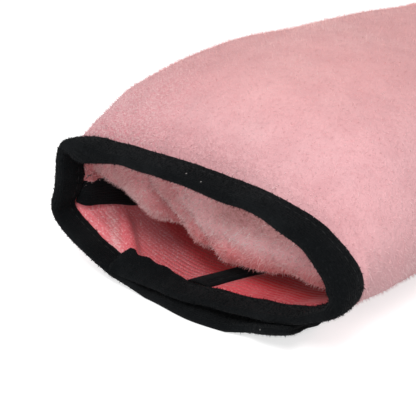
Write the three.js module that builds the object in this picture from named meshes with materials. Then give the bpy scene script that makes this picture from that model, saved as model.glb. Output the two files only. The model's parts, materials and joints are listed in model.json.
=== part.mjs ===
// Padded sleeve that wraps round a seat belt where it crosses the shoulder. One plush sheet is
// folded into a tunnel, its two long edges overlap beneath and close with hook and loop, and a
// second sheet inside holds the filling up against the top. Every edge is bound with folded tape.
// Millimetres, +Z up. The belt runs along Y. The origin lies under the middle of the sleeve, on
// the surface that the sleeve rests on, and the mouth that faces the viewer is at -Y.

import * as THREE from 'three';

// Overall form
const LENGTH = 280;
const MOUTH_HALF_WIDTH = 59.5;
const MOUTH_LIP_HEIGHT = 44.2;
const WAIST_HALF_WIDTH = 63;
const WAIST_HEIGHT = 77.5;
const DOME_LENGTH = 90;
const LIP_RISE = 1;
const DOME_BLUNTNESS = 0.47;

// Cloth, tape and the fastening
const CLOTH = 2;
const PANEL_CLOTH = 1.8;
const TAPE = 1;
const TAPE_WIDTH = 10;
const GAP = 0.3;
const STRIP_THICKNESS = 1.1;
const STRIP_WIDTH = 14;
const STRIP_LENGTH = 220;

// Flaps beneath, measured across the sleeve from its middle
const INNER_FLAP_EDGE_AT_MOUTH = -5.5;
const INNER_FLAP_EDGE_AT_WAIST = 3;
const OUTER_FLAP_EDGE_AT_MOUTH = 41.5;
const OUTER_FLAP_EDGE_AT_WAIST = 36;
const FLAP_TURN_LENGTH = 35;
const CORNER_LIFT = 8.5;
const CORNER_LENGTH = 28;
const MOUTH_FLAP_SPACE = 5.3;

// Inner panel, which bulges down into the tunnel under the filling
const PANEL_LOW_POINT = 16.5;
const PANEL_CREASE_RISE = 1.6;
const PANEL_CURL_RADIUS = 5;
const PANEL_SHOULDER_RISE = 4.5;
const PANEL_DROP_LENGTH = 7;

// Cut end of the inner flap's tape, which sticks out past the flap and tilts up
const TAIL_LENGTH = 22;
const TAIL_TILT = THREE.MathUtils.degToRad(24);

// Where the panel's long edges lie on the cover's section, counted in points of its outline
const PANEL_RIGHT_EDGE = 3.95;
const PANEL_LEFT_EDGE = 14.75;

// Number of facets
const INNER_FLAP_COLUMNS = 7;
const TOP_COLUMNS = 18;
const OUTER_FLAP_COLUMNS = 8;
const FOLD_FACETS = 4;
const TAIL_STEPS = 3;
const CURVE_TENSION = 0.5;
const WALK_STEP = 0.0004;

// Sizes that follow from those above
const FOLD_DEPTH = CLOTH / 2 + GAP + TAPE;
const TAPE_ON_CLOTH = TAPE_WIDTH - FOLD_DEPTH;
const STEP_OFF_TAPE = 3;
const PANEL_START = TAPE_WIDTH + 2;
const OUTER_FLAP_REST = CLOTH / 2;
const LOOP_STRIP_BASE = CLOTH + GAP;
const HOOK_STRIP_BASE = LOOP_STRIP_BASE + STRIP_THICKNESS + GAP;
const INNER_FLAP_REST = HOOK_STRIP_BASE + STRIP_THICKNESS + GAP + CLOTH / 2;
const FLANGE_OFFSET = CLOTH / 2 + GAP + PANEL_CLOTH / 2;
const BOUND_PANEL_OFFSET = FLANGE_OFFSET + TAPE + GAP;

// Rows of the sheets, as distances from the nearer mouth, and both halves together
const PANEL_DROP_ROWS = [0, 0.2, 0.5, 1].map(share => PANEL_START + share * PANEL_DROP_LENGTH);
const FRONT_ROWS = [FOLD_DEPTH, TAPE_WIDTH, ...PANEL_DROP_ROWS, 25, 34, 47, 64, 86, 112];
const ROWS = [...FRONT_ROWS, LENGTH / 2, ...FRONT_ROWS.map(d => LENGTH - d).reverse()];
const TAPE_END_ROW = 1;
const COVER_BINDING_ROW = 2;
const PANEL_BINDING_ROW = 3;
const FIRST_FILLING_ROW = 3;

const fromNearerMouth = d => Math.min(d, LENGTH - d);

// Middle of the cloth in section at a mouth: from the inner flap's free edge up the right wall,
// over the top lip, down the left wall and along the outer flap to its free edge.
function mouthOutline() {
  const w = MOUTH_HALF_WIDTH;
  const h = MOUTH_LIP_HEIGHT;
  const inner = FOLD_DEPTH + MOUTH_FLAP_SPACE;
  return [
    [INNER_FLAP_EDGE_AT_MOUTH, inner], [0.13 * w, inner + 0.02 * h], [0.45 * w, inner + 0.07 * h],
    [0.78 * w, inner + 0.17 * h], [0.96 * w, 0.45 * h], [w, 0.59 * h], [0.91 * w, 0.74 * h],
    [0.74 * w, 0.89 * h], [0.45 * w, 0.96 * h], [0.1 * w, h], [-0.27 * w, h], [-0.59 * w, h],
    [-0.8 * w, 0.99 * h], [-0.9 * w, 0.86 * h], [-0.96 * w, 0.61 * h], [-0.965 * w, 0.385 * h],
    [-0.71 * w, 0.135 * h], [-0.3 * w, 0], [0.2 * w, 0], [OUTER_FLAP_EDGE_AT_MOUTH, 0],
  ];
}

// The same line where the sleeve is fullest.
function waistOutline() {
  const w = WAIST_HALF_WIDTH;
  const h = WAIST_HEIGHT;
  return [
    [INNER_FLAP_EDGE_AT_WAIST, INNER_FLAP_REST], [0.32 * w, INNER_FLAP_REST],
    [0.54 * w, INNER_FLAP_REST], [0.77 * w, INNER_FLAP_REST + 0.045 * h], [0.92 * w, 0.245 * h],
    [w, 0.45 * h], [0.95 * w, 0.66 * h], [0.76 * w, 0.84 * h], [0.41 * w, 0.955 * h], [0, h],
    [-0.41 * w, 0.955 * h], [-0.76 * w, 0.84 * h], [-0.95 * w, 0.66 * h], [-w, 0.45 * h],
    [-0.94 * w, 0.26 * h], [-0.78 * w, 0.11 * h], [-0.5 * w, 0.025 * h],
    [-0.16 * w, 0], [0.25 * w, 0], [OUTER_FLAP_EDGE_AT_WAIST, 0],
  ];
}

// Inner panel in section where it hangs free: off the right wall, curled over, down into two
// lobes with a crease between them, and back up to the left wall.
function panelOutline(right, left) {
  const w = WAIST_HALF_WIDTH;
  const low = PANEL_LOW_POINT;
  const curl = PANEL_CURL_RADIUS;
  return [
    [right.x, right.z], [right.x - 0.8 * curl, right.z + 0.8 * curl], [right.x - 1.6 * curl, right.z],
    [0.7 * w, low + PANEL_SHOULDER_RISE], [0.47 * w, low + 0.2 * PANEL_SHOULDER_RISE], [0.22 * w, low],
    [0.03 * w, low + PANEL_CREASE_RISE], [-0.18 * w, low], [-0.42 * w, low + 0.3 * PANEL_SHOULDER_RISE],
    [-0.66 * w, low + 1.2 * PANEL_SHOULDER_RISE],
    [left.x + 1.6 * curl, left.z], [left.x + 0.8 * curl, left.z + 0.8 * curl], [left.x, left.z],
  ];
}

function smoothCurve(outline) {
  const points = outline.map(([x, z]) => new THREE.Vector3(x, 0, z));
  return new THREE.CatmullRomCurve3(points, false, 'catmullrom', CURVE_TENSION);
}

// How far the section has grown from the mouth's towards the waist's, from 0 to 1.
function fullness(d) {
  const t = THREE.MathUtils.clamp((fromNearerMouth(d) - TAPE_WIDTH) / DOME_LENGTH, 0, 1);
  return (1 - (1 - t) ** 2) ** DOME_BLUNTNESS;
}

const MOUTH_OUTLINE = mouthOutline();
const WAIST_OUTLINE = waistOutline();
const LIP_POINTS = { first: 6, last: 13 };

function sectionCurve(d) {
  const grown = fullness(d);
  const lip = LIP_RISE * Math.min(1, fromNearerMouth(d) / TAPE_WIDTH);
  const corner = CORNER_LIFT * (1 - THREE.MathUtils.smoothstep(fromNearerMouth(d), 0, CORNER_LENGTH));
  const outline = MOUTH_OUTLINE.map(([x, z], k) => {
    const onLip = k >= LIP_POINTS.first && k <= LIP_POINTS.last;
    const rooted = z + (onLip ? lip : 0);
    const [waistX, waistZ] = WAIST_OUTLINE[k];
    return [x + (waistX - x) * grown, rooted + (waistZ - rooted) * grown];
  });
  const turned = THREE.MathUtils.smoothstep(fromNearerMouth(d), 0, FLAP_TURN_LENGTH);
  const { lerp } = THREE.MathUtils;
  outline[0][0] = lerp(INNER_FLAP_EDGE_AT_MOUTH, INNER_FLAP_EDGE_AT_WAIST, turned);
  outline[outline.length - 1][0] = lerp(OUTER_FLAP_EDGE_AT_MOUTH, OUTER_FLAP_EDGE_AT_WAIST, turned);
  outline[outline.length - 1][1] += corner;
  return smoothCurve(outline);
}

// The outer flap lies on its tape near its edges and on its own pile elsewhere.
function restLevel(d, fromFreeEdge) {
  const off = (distance, start, end) => THREE.MathUtils.smoothstep(distance, start, end);
  const offMouth = off(fromNearerMouth(d), PANEL_START, 2 * PANEL_START);
  const offFreeEdge = off(fromFreeEdge, TAPE_ON_CLOTH, TAPE_ON_CLOTH + STEP_OFF_TAPE);
  return OUTER_FLAP_REST + (1 - Math.min(offMouth, offFreeEdge)) * (GAP + TAPE);
}

// Place on a curve, as a share of it, that lies a distance along it from another place.
function shareFrom(curve, start, distance) {
  const step = WALK_STEP * Math.sign(distance);
  let share = start;
  let walked = 0;
  let here = curve.getPoint(start);
  while (walked < Math.abs(distance)) {
    share += step;
    const next = curve.getPoint(share);
    walked += here.distanceTo(next);
    here = next;
  }
  return share;
}

// Columns of the cover, as shares of its section curve. They stand where tape and panel end.
function columnShares(curve) {
  const between = (from, to, count) =>
    Array.from({ length: count - 1 }, (_, k) => from + ((to - from) * (k + 1)) / count);
  const last = MOUTH_OUTLINE.length - 1;
  const right = PANEL_RIGHT_EDGE / last;
  const left = PANEL_LEFT_EDGE / last;
  const rightWall = [TAPE_ON_CLOTH, TAPE_ON_CLOTH + PANEL_CURL_RADIUS].map(s => shareFrom(curve, right, s));
  const leftWall = [TAPE_ON_CLOTH + PANEL_CURL_RADIUS, TAPE_ON_CLOTH].map(s => shareFrom(curve, left, -s));
  const innerTape = shareFrom(curve, 0, TAPE_ON_CLOTH);
  const outerTape = [TAPE_ON_CLOTH + STEP_OFF_TAPE, TAPE_ON_CLOTH].map(s => shareFrom(curve, 1, -s));
  return [
    0, innerTape, ...between(innerTape, right, INNER_FLAP_COLUMNS),
    right, ...rightWall, ...between(rightWall[1], leftWall[0], TOP_COLUMNS), ...leftWall, left,
    ...between(left, outerTape[0], OUTER_FLAP_COLUMNS), ...outerTape, 1,
  ];
}

// Columns of the cover that the panel's long edges lie beside
const PANEL_RIGHT_COLUMN = 2 + INNER_FLAP_COLUMNS - 1;
const PANEL_LEFT_COLUMN = PANEL_RIGHT_COLUMN + 2 + TOP_COLUMNS + 2;
const PANEL_WALL_COLUMNS = 2;

function coverRow(d) {
  const curve = sectionCurve(d);
  const edgeX = curve.getPoint(1).x;
  return columnShares(curve).map((share, j) => {
    const point = curve.getPoint(share);
    point.y = d - LENGTH / 2;
    if (j > PANEL_LEFT_COLUMN) point.z = Math.max(point.z, restLevel(d, edgeX - point.x));
    return point;
  });
}

// A surface is a grid of points with its normals, which point away from the tunnel. It is creased
// where the tape ends, so that the cloth under the tape stays flat.
function surface(points) {
  const last = points.length - 1;
  const normals = points.map((row, i) => row.map((point, j) => {
    const before = points[i === last - TAPE_END_ROW ? i : Math.max(i - 1, 0)][j];
    const after = points[i === TAPE_END_ROW ? i : Math.min(i + 1, last)][j];
    const left = row[Math.max(j - 1, 0)];
    const right = row[Math.min(j + 1, row.length - 1)];
    const alongRow = new THREE.Vector3().subVectors(right, left);
    const acrossRows = new THREE.Vector3().subVectors(after, before);
    return acrossRows.cross(alongRow).normalize();
  }));
  return { points, normals };
}

function offset(sheet, distance) {
  return sheet.points.map((row, i) => row.map((point, j) =>
    point.clone().addScaledVector(sheet.normals[i][j], distance)));
}

const cover = surface(ROWS.map(coverRow));

// The panel lies on the cover inside the mouths and on both walls, and hangs free elsewhere.
function panelRow(i) {
  const within = fromNearerMouth(ROWS[i]);
  const inMouth = within < PANEL_START;
  const clear = inMouth ? FLANGE_OFFSET : BOUND_PANEL_OFFSET;
  const seamRow = i < ROWS.length / 2 ? TAPE_END_ROW : ROWS.length - 1 - TAPE_END_ROW;
  const insideCover = (row, j, distance) =>
    cover.points[row][j].clone().addScaledVector(cover.normals[row][j], -distance);
  const rightWall = insideCover(i, PANEL_RIGHT_COLUMN + PANEL_WALL_COLUMNS, clear);
  const leftWall = insideCover(i, PANEL_LEFT_COLUMN - PANEL_WALL_COLUMNS, clear);
  const hanging = smoothCurve(panelOutline(rightWall, leftWall));
  const drop = THREE.MathUtils.clamp((within - PANEL_START) / PANEL_DROP_LENGTH, 0, 1);
  const rounded = Math.sqrt(1 - (1 - drop) ** 2);
  const lastColumn = PANEL_LEFT_COLUMN - PANEL_RIGHT_COLUMN;
  const hangingColumns = lastColumn - 2 * PANEL_WALL_COLUMNS;
  return Array.from({ length: lastColumn + 1 }, (_, k) => {
    const j = PANEL_RIGHT_COLUMN + k;
    const onWall = Math.min(k, lastColumn - k) <= PANEL_WALL_COLUMNS;
    if (onWall || inMouth) return insideCover(i, j, clear);
    const point = insideCover(seamRow, j, FLANGE_OFFSET);
    point.lerp(hanging.getPoint((k - PANEL_WALL_COLUMNS) / hangingColumns), rounded);
    point.y = ROWS[i] - LENGTH / 2;
    return point;
  });
}

const panel = surface(ROWS.map((d, i) => panelRow(i)));

// Two triangles for a quad, split along its shorter diagonal
function splitQuad(vertices, a, b, c, d) {
  const acrossAC = vertices[a].distanceTo(vertices[c]);
  const acrossBD = vertices[b].distanceTo(vertices[d]);
  return acrossAC <= acrossBD ? [[a, b, c], [a, c, d]] : [[a, b, d], [b, c, d]];
}

function geometryOf(vertices, triangles) {
  const geometry = new THREE.BufferGeometry();
  geometry.setAttribute('position', new THREE.Float32BufferAttribute(vertices.flatMap(p => p.toArray()), 3));
  geometry.setIndex(triangles.flat());
  geometry.computeVertexNormals();
  return geometry;
}

// Closed body between two grids of the same size, the first on the side that normals point to.
function slab(front, back) {
  const rows = front.length;
  const columns = front[0].length;
  const vertices = [...front.flat(), ...back.flat()];
  const triangles = [];
  const quad = (a, b, c, d) => triangles.push(...splitQuad(vertices, a, b, c, d));
  const at = (i, j) => i * columns + j;
  const under = (i, j) => rows * columns + at(i, j);
  for (let i = 0; i < rows - 1; i += 1) {
    for (let j = 0; j < columns - 1; j += 1) {
      quad(at(i, j), at(i + 1, j), at(i + 1, j + 1), at(i, j + 1));
      quad(under(i, j), under(i, j + 1), under(i + 1, j + 1), under(i + 1, j));
    }
    quad(at(i, 0), under(i, 0), under(i + 1, 0), at(i + 1, 0));
    quad(at(i, columns - 1), at(i + 1, columns - 1), under(i + 1, columns - 1), under(i, columns - 1));
  }
  for (let j = 0; j < columns - 1; j += 1) {
    quad(at(0, j), at(0, j + 1), under(0, j + 1), under(0, j));
    quad(at(rows - 1, j), under(rows - 1, j), under(rows - 1, j + 1), at(rows - 1, j + 1));
  }
  return geometryOf(vertices, triangles);
}

// Closed body through rings of equal length. The two ends are strips across the folded section,
// whose first half is its outer face and whose second half is its inner face, run backwards.
function foldedLoft(rings) {
  const size = rings[0].length;
  const vertices = rings.flat();
  const triangles = [];
  const at = (i, k) => i * size + (k % size);
  for (let i = 0; i < rings.length - 1; i += 1) {
    for (let k = 0; k < size; k += 1) {
      triangles.push(...splitQuad(vertices, at(i, k), at(i + 1, k), at(i + 1, k + 1), at(i, k + 1)));
    }
  }
  const last = rings.length - 1;
  for (let k = 0; k < size / 2 - 1; k += 1) {
    const [a, b, c, d] = [k, k + 1, size - 2 - k, size - 1 - k];
    triangles.push([at(0, a), at(0, b), at(0, c)], [at(0, a), at(0, c), at(0, d)]);
    triangles.push([at(last, a), at(last, c), at(last, b)], [at(last, a), at(last, d), at(last, c)]);
  }
  return geometryOf(vertices, triangles);
}

// One ring of folded tape. The station gives the cloth's edge and the place where the tape ends,
// each with its normal, and how far the inside of the tape lies from the middle of the cloth
// towards its outer face and its inner face.
function tapeRing({ edge, edgeNormal, end, endNormal, outerReach, innerReach }) {
  const away = new THREE.Vector3().subVectors(edge, end).normalize();
  const face = (reachOut, reachIn, depth) => {
    const middle = (reachOut - reachIn) / 2;
    const half = (reachOut + reachIn) / 2;
    const points = [end.clone().addScaledVector(endNormal, reachOut)];
    for (let k = 0; k <= FOLD_FACETS; k += 1) {
      const angle = (Math.PI * k) / FOLD_FACETS;
      points.push(edge.clone()
        .addScaledVector(edgeNormal, middle + half * Math.cos(angle))
        .addScaledVector(away, depth * Math.sin(angle)));
    }
    points.push(end.clone().addScaledVector(endNormal, -reachIn));
    return points;
  };
  const outside = face(outerReach + TAPE, innerReach + TAPE, FOLD_DEPTH);
  const inside = face(outerReach, innerReach, FOLD_DEPTH - TAPE);
  return [...outside, ...inside.reverse()];
}

// Station of tape on a sheet, from the grid place of the cloth's edge to that of the tape's end.
function stationOn(sheet, edgePlace, endPlace, outerReach, innerReach) {
  const [i, j] = edgePlace;
  const [m, n] = endPlace;
  return {
    edge: sheet.points[i][j],
    edgeNormal: sheet.normals[i][j],
    end: sheet.points[m][n],
    endNormal: sheet.normals[m][n],
    outerReach,
    innerReach,
  };
}

function shifted(station, direction, distance) {
  return {
    ...station,
    edge: station.edge.clone().addScaledVector(direction, distance),
    end: station.end.clone().addScaledVector(direction, distance),
  };
}

// The tail leans up about its fold and closes on itself, since no cloth lies in it.
function tailStation(station, direction, share) {
  const moved = shifted(station, direction, TAIL_LENGTH * share);
  const lean = new THREE.Quaternion().setFromAxisAngle(direction, -TAIL_TILT * share);
  moved.end = moved.end.sub(moved.edge).applyQuaternion(lean).add(moved.edge);
  moved.edgeNormal = station.edgeNormal.clone().applyQuaternion(lean);
  moved.endNormal = station.endNormal.clone().applyQuaternion(lean);
  moved.outerReach = THREE.MathUtils.lerp(station.outerReach, GAP, share);
  moved.innerReach = THREE.MathUtils.lerp(station.innerReach, GAP, share);
  return moved;
}

// Tape round a mouth. It also takes in the inner panel along the top and down both walls.
function mouthBinding(edgeRow, endRow, facing) {
  const plain = CLOTH / 2 + GAP;
  const withPanel = FLANGE_OFFSET + PANEL_CLOTH / 2 + GAP;
  const stations = cover.points[edgeRow].map((point, j) => {
    const holdsPanel = j >= PANEL_RIGHT_COLUMN - 1 && j <= PANEL_LEFT_COLUMN + 1;
    return stationOn(cover, [edgeRow, j], [endRow, j], plain, holdsPanel ? withPanel : plain);
  });
  const innerEdge = stations[0];
  const outerEdge = stations[stations.length - 1];
  const pastInner = innerEdge.edge.clone().sub(stations[1].edge).normalize();
  const pastOuter = outerEdge.edge.clone().sub(stations[stations.length - 2].edge).normalize();
  const before = [];
  if (facing === 'front') {
    for (let k = TAIL_STEPS; k > 0; k -= 1) before.push(tailStation(innerEdge, pastInner, k / TAIL_STEPS));
  } else {
    before.push(shifted(innerEdge, pastInner, FOLD_DEPTH));
  }
  const rings = [...before, ...stations, shifted(outerEdge, pastOuter, FOLD_DEPTH)].map(tapeRing);
  return foldedLoft(facing === 'front' ? rings : rings.reverse());
}

// Tape along a long edge, between the two mouth bindings.
function longEdgeBinding(sheet, edgeColumn, endColumn, reach, firstRow) {
  const rings = [];
  for (let i = firstRow; i < ROWS.length - firstRow; i += 1) {
    rings.push(tapeRing(stationOn(sheet, [i, edgeColumn], [i, endColumn], reach, reach)));
  }
  return foldedLoft(edgeColumn < endColumn ? rings.reverse() : rings);
}

// Filling between the cover and the panel, kept clear of both.
function fillingGeometry() {
  const firstColumn = PANEL_RIGHT_COLUMN + PANEL_WALL_COLUMNS;
  const lastColumn = PANEL_LEFT_COLUMN - PANEL_WALL_COLUMNS;
  const upper = offset(cover, -(CLOTH / 2 + GAP))
    .slice(FIRST_FILLING_ROW, -FIRST_FILLING_ROW)
    .map(row => row.slice(firstColumn, lastColumn + 1));
  const lower = offset(panel, PANEL_CLOTH / 2 + GAP)
    .slice(FIRST_FILLING_ROW, -FIRST_FILLING_ROW)
    .map(row => row.slice(PANEL_WALL_COLUMNS, -PANEL_WALL_COLUMNS));
  return slab(upper, lower);
}

// One half of the fastening, a flat strip sewn along a flap.
function stripGeometry() {
  const rim = 2;
  const outline = new THREE.Shape();
  const [w, l] = [STRIP_WIDTH / 2, STRIP_LENGTH / 2];
  outline.moveTo(-w + rim, -l).lineTo(w - rim, -l).lineTo(w, -l + rim).lineTo(w, l - rim);
  outline.lineTo(w - rim, l).lineTo(-w + rim, l).lineTo(-w, l - rim).lineTo(-w, -l + rim);
  return new THREE.ExtrudeGeometry(outline, { depth: STRIP_THICKNESS, bevelEnabled: false });
}

const FINISHES = {
  plush: { color: 0xe6aab0, roughness: 0.95, metalness: 0 },
  panelPlush: { color: 0xe2a5ab, roughness: 0.95, metalness: 0 },
  tape: { color: 0x1b1c1d, roughness: 0.9, metalness: 0 },
  fibre: { color: 0xf2f0ee, roughness: 1, metalness: 0 },
  fastener: { color: 0xd98f98, roughness: 0.85, metalness: 0 },
};

const sleeve = new THREE.Group();

function addPiece(name, geometry, finish) {
  const piece = new THREE.Mesh(geometry, new THREE.MeshStandardMaterial(FINISHES[finish]));
  piece.name = name;
  sleeve.add(piece);
  return piece;
}

addPiece('outer_cover', slab(offset(cover, CLOTH / 2), offset(cover, -CLOTH / 2)), 'plush');
addPiece('inner_panel', slab(offset(panel, PANEL_CLOTH / 2), offset(panel, -PANEL_CLOTH / 2)), 'panelPlush');
addPiece('filling', fillingGeometry(), 'fibre');

const lastRow = ROWS.length - 1;
addPiece('front_mouth_binding', mouthBinding(0, 1, 'front'), 'tape');
addPiece('rear_mouth_binding', mouthBinding(lastRow, lastRow - 1, 'rear'), 'tape');

function addLongEdgeBinding(name, sheet, edgeColumn, cloth, firstRow) {
  const inward = edgeColumn === 0 ? 1 : -1;
  const reach = cloth / 2 + GAP;
  addPiece(name, longEdgeBinding(sheet, edgeColumn, edgeColumn + inward, reach, firstRow), 'tape');
}

const lastCoverColumn = cover.points[0].length - 1;
const lastPanelColumn = panel.points[0].length - 1;
addLongEdgeBinding('inner_flap_edge_binding', cover, 0, CLOTH, COVER_BINDING_ROW);
addLongEdgeBinding('outer_flap_edge_binding', cover, lastCoverColumn, CLOTH, COVER_BINDING_ROW);
addLongEdgeBinding('inner_panel_binding_right', panel, 0, PANEL_CLOTH, PANEL_BINDING_ROW);
addLongEdgeBinding('inner_panel_binding_left', panel, lastPanelColumn, PANEL_CLOTH, PANEL_BINDING_ROW);

const stripMiddle = INNER_FLAP_EDGE_AT_WAIST + TAPE_ON_CLOTH + GAP + STRIP_WIDTH / 2;
const loopStrip = addPiece('loop_strip', stripGeometry(), 'fastener');
loopStrip.position.set(stripMiddle, 0, LOOP_STRIP_BASE);
const hookStrip = addPiece('hook_strip', stripGeometry(), 'fastener');
hookStrip.position.set(stripMiddle, 0, HOOK_STRIP_BASE);

export default sleeve;
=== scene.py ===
"""Seat belt shoulder pad: a plush sleeve, open at both ends, with a stuffed top and black bound edges.

Each cloth is lofted from sections across the sleeve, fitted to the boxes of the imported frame. Pile,
thread and the fastening's loops and hooks are scattered or strung along it with Geometry Nodes.
"""

import json
import math

import bpy
import numpy as np
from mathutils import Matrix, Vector, noise

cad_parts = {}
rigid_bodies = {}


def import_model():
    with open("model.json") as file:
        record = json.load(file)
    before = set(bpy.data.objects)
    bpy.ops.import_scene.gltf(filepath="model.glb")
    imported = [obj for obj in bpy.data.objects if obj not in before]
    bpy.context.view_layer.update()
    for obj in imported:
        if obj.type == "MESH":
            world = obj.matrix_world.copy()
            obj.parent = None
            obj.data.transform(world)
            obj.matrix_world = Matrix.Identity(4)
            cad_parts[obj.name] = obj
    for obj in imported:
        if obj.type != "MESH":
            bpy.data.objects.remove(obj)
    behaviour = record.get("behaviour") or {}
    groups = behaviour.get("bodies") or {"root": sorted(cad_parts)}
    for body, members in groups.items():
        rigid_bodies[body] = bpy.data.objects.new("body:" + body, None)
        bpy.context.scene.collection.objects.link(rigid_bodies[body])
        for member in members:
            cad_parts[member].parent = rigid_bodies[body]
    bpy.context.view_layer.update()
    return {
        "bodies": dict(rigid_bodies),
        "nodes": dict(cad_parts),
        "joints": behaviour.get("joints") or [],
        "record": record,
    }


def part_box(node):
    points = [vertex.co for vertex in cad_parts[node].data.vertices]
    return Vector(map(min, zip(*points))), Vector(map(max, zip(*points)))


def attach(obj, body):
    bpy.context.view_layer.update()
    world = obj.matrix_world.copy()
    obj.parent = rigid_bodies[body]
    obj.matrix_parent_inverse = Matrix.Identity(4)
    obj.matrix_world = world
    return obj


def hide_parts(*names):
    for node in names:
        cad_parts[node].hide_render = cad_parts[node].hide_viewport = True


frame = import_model()
MM = 0.001


def box_mm(node):
    low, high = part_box(node)
    return np.array(low) / MM, np.array(high) / MM


COVER_HIGH = box_mm("outer_cover")[1]
MOUTH_LOW, MOUTH_HIGH = box_mm("front_mouth_binding")
STRIP_LOW, STRIP_HIGH = box_mm("loop_strip")

# Cloth, tape and pile, in millimetres. Cloth that a tape holds is pressed thin.
CLOTH = 2.0
PANEL_CLOTH = 1.8
PRESSED_CLOTH = 0.9
PRESSED_PANEL = 0.6
TAPE = 0.7
TAPE_WIDTH = 9.6
GAP = 0.1
COVER_PILE = 1.3
PANEL_PILE = 1.0
PLAIN_REACH = PRESSED_CLOTH / 2 + GAP
PRESSED_FLANGE = PRESSED_CLOTH / 2 + PRESSED_PANEL / 2 + 0.02
REACH_OVER_PANEL = PRESSED_FLANGE + PRESSED_PANEL / 2 + GAP
TAPE_STAND = PLAIN_REACH + TAPE
FOLD_DEPTH = TAPE_STAND
TAPE_ON_CLOTH = TAPE_WIDTH - FOLD_DEPTH

# Overall form, from the frame
LENGTH = MOUTH_LOW[1] * -2
MOUTH_HALF_WIDTH = MOUTH_HIGH[0] - TAPE_STAND - 0.6
MOUTH_LIP_HEIGHT = 43.2
PILE_SINK = 1.6
WAIST_HALF_WIDTH = COVER_HIGH[0] - CLOTH / 2 - 0.6
WAIST_HEIGHT = COVER_HIGH[2] - CLOTH / 2 - 1.2
DOME_LENGTH = 78.0
DOME_BLUNTNESS = 0.52
LIP_RISE = 1.0
COVER_COLUMNS = 220
ROW_STEP_AT_MOUTH = 1.0
ROW_STEP_INSIDE = 2.6

# Flaps beneath
INNER_FLAP_EDGE = {"mouth": -5.5, "waist": 3.0}
OUTER_FLAP_EDGE = {"mouth": 41.5, "waist": 36.0}
FLAP_TURN_LENGTH = 35.0
CORNER_LIFT = 8.5
CORNER_LENGTH = 28.0
INNER_FLAP_AT_MOUTH = 5.6
INNER_FLAP_REST = 6.1
MOUTH_BOW = 2.4
BOW_MIDDLE = 7.0
BOW_SPREAD = 14.0
CORNER_BOW = 2.2
BOW_LENGTH = 40.0
MOUTH_WAVE = 1.0
MOUTH_WAVE_WIDTH = 11
SHOULDER_PULL = 2.6
SHOULDER_SWELL = 0.5
FLAP_FOLD_START = -15.0
FLAP_FOLD_SLANT = 1.35
FLAP_FOLD_WIDTH = 2.3
FLAP_FOLD_RISE = 2.8

# Inner panel
PANEL_START = 12.0
PANEL_DROP_LENGTH = 9.0
PANEL_LOW_POINT = 15.0
PANEL_CURL_RADIUS = 5.0
PANEL_RIGHT_EDGE = 3.95
PANEL_LEFT_EDGE = 14.75
PANEL_WALL_COLUMNS = 8
BOUND_PANEL_OFFSET = CLOTH / 2 + GAP + TAPE_STAND
LEFT_EDGE_LIFT_COLUMNS = 2.6

# Finishes, linear colour
PLUSH_COLOUR = (0.82, 0.445, 0.47)
PLUSH_LIGHT = (0.90, 0.545, 0.565)
PLUSH_DARK = (0.60, 0.27, 0.295)
PLUSH_BETWEEN_TUFTS = (0.66, 0.17, 0.22)
PLUSH_TUFT_TIPS = (0.94, 0.71, 0.69)
PLUSH_FIBRE_COLOUR = (0.93, 0.64, 0.65)
PLUSH_FIBRE_LIGHT = (0.97, 0.84, 0.84)
# Painted shade and painted red bounce light: the panel's plush colours are a darker, redder copy of the
# cover's plush colours.
PANEL_IN_SHADE_COLOUR = (0.63, 0.205, 0.215)
PANEL_IN_SHADE_LIGHT = (0.82, 0.42, 0.44)
PANEL_IN_SHADE_DARK = (0.40, 0.10, 0.11)
# Painted shadow of the top lip on the panel, brownish.
PANEL_LIP_SHADOW_TINT = (0.55, 0.46, 0.40)
PANEL_FIBRE_COLOUR = (0.89, 0.61, 0.61)
PANEL_FIBRE_LIGHT = (0.97, 0.90, 0.89)
KNIT_COLOUR = (0.97, 0.15, 0.18)
KNIT_PALE = (0.85, 0.22, 0.25)
KNIT_DEEP = (0.72, 0.04, 0.06)
# Painted shade of the right wall on the knit.
KNIT_RIGHT_SHADE = (0.62, 0.018, 0.036)
KNIT_FLUFF = (0.97, 0.66, 0.66)
TAPE_COLOUR = (0.011, 0.012, 0.013)
TAPE_DARK = (0.005, 0.0058, 0.0066)
TAPE_WORN = (0.009, 0.0101, 0.0112)
TAPE_FLUFF = (0.024, 0.025, 0.027)
LINT_COLOUR = (0.55, 0.52, 0.5)
BLACK_THREAD_COLOUR = (0.007, 0.0075, 0.008)
PINK_THREAD_COLOUR = (0.75, 0.33, 0.37)
FIBRE_COLOUR = (0.86, 0.84, 0.82)
FIBRE_HOLLOW_COLOUR = (0.68, 0.66, 0.65)
FASTENER_COLOUR = (0.62, 0.26, 0.30)
FASTENER_LIGHT = (0.74, 0.38, 0.41)


# Shapes of sections


def smoothstep(x, start, end):
    t = np.clip((np.asarray(x, float) - start) / (end - start), 0, 1)
    return t * t * (3 - 2 * t)


def hump(x, middle, width):
    return np.exp(-(((x - middle) / width) ** 2))


def mix(a, b, share):
    return a + (b - a) * share


def smooth_line(points, shares):
    """Points on a smooth curve through points, at shares of their count."""
    p = np.asarray(points, float)
    p = np.vstack([2 * p[0] - p[1], p, 2 * p[-1] - p[-2]])
    place = np.clip(np.asarray(shares, float), 0, 1) * (len(p) - 3)
    i = np.minimum(place.astype(int), len(p) - 4)
    t = (place - i)[:, None]
    before, a, b, after = p[i], p[i + 1], p[i + 2], p[i + 3]
    leave_a, reach_b = (b - before) / 2, (after - a) / 2
    return (
        a * (2 * t**3 - 3 * t**2 + 1)
        + leave_a * (t**3 - 2 * t**2 + t)
        + b * (3 * t**2 - 2 * t**3)
        + reach_b * (t**3 - t**2)
    )


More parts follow.
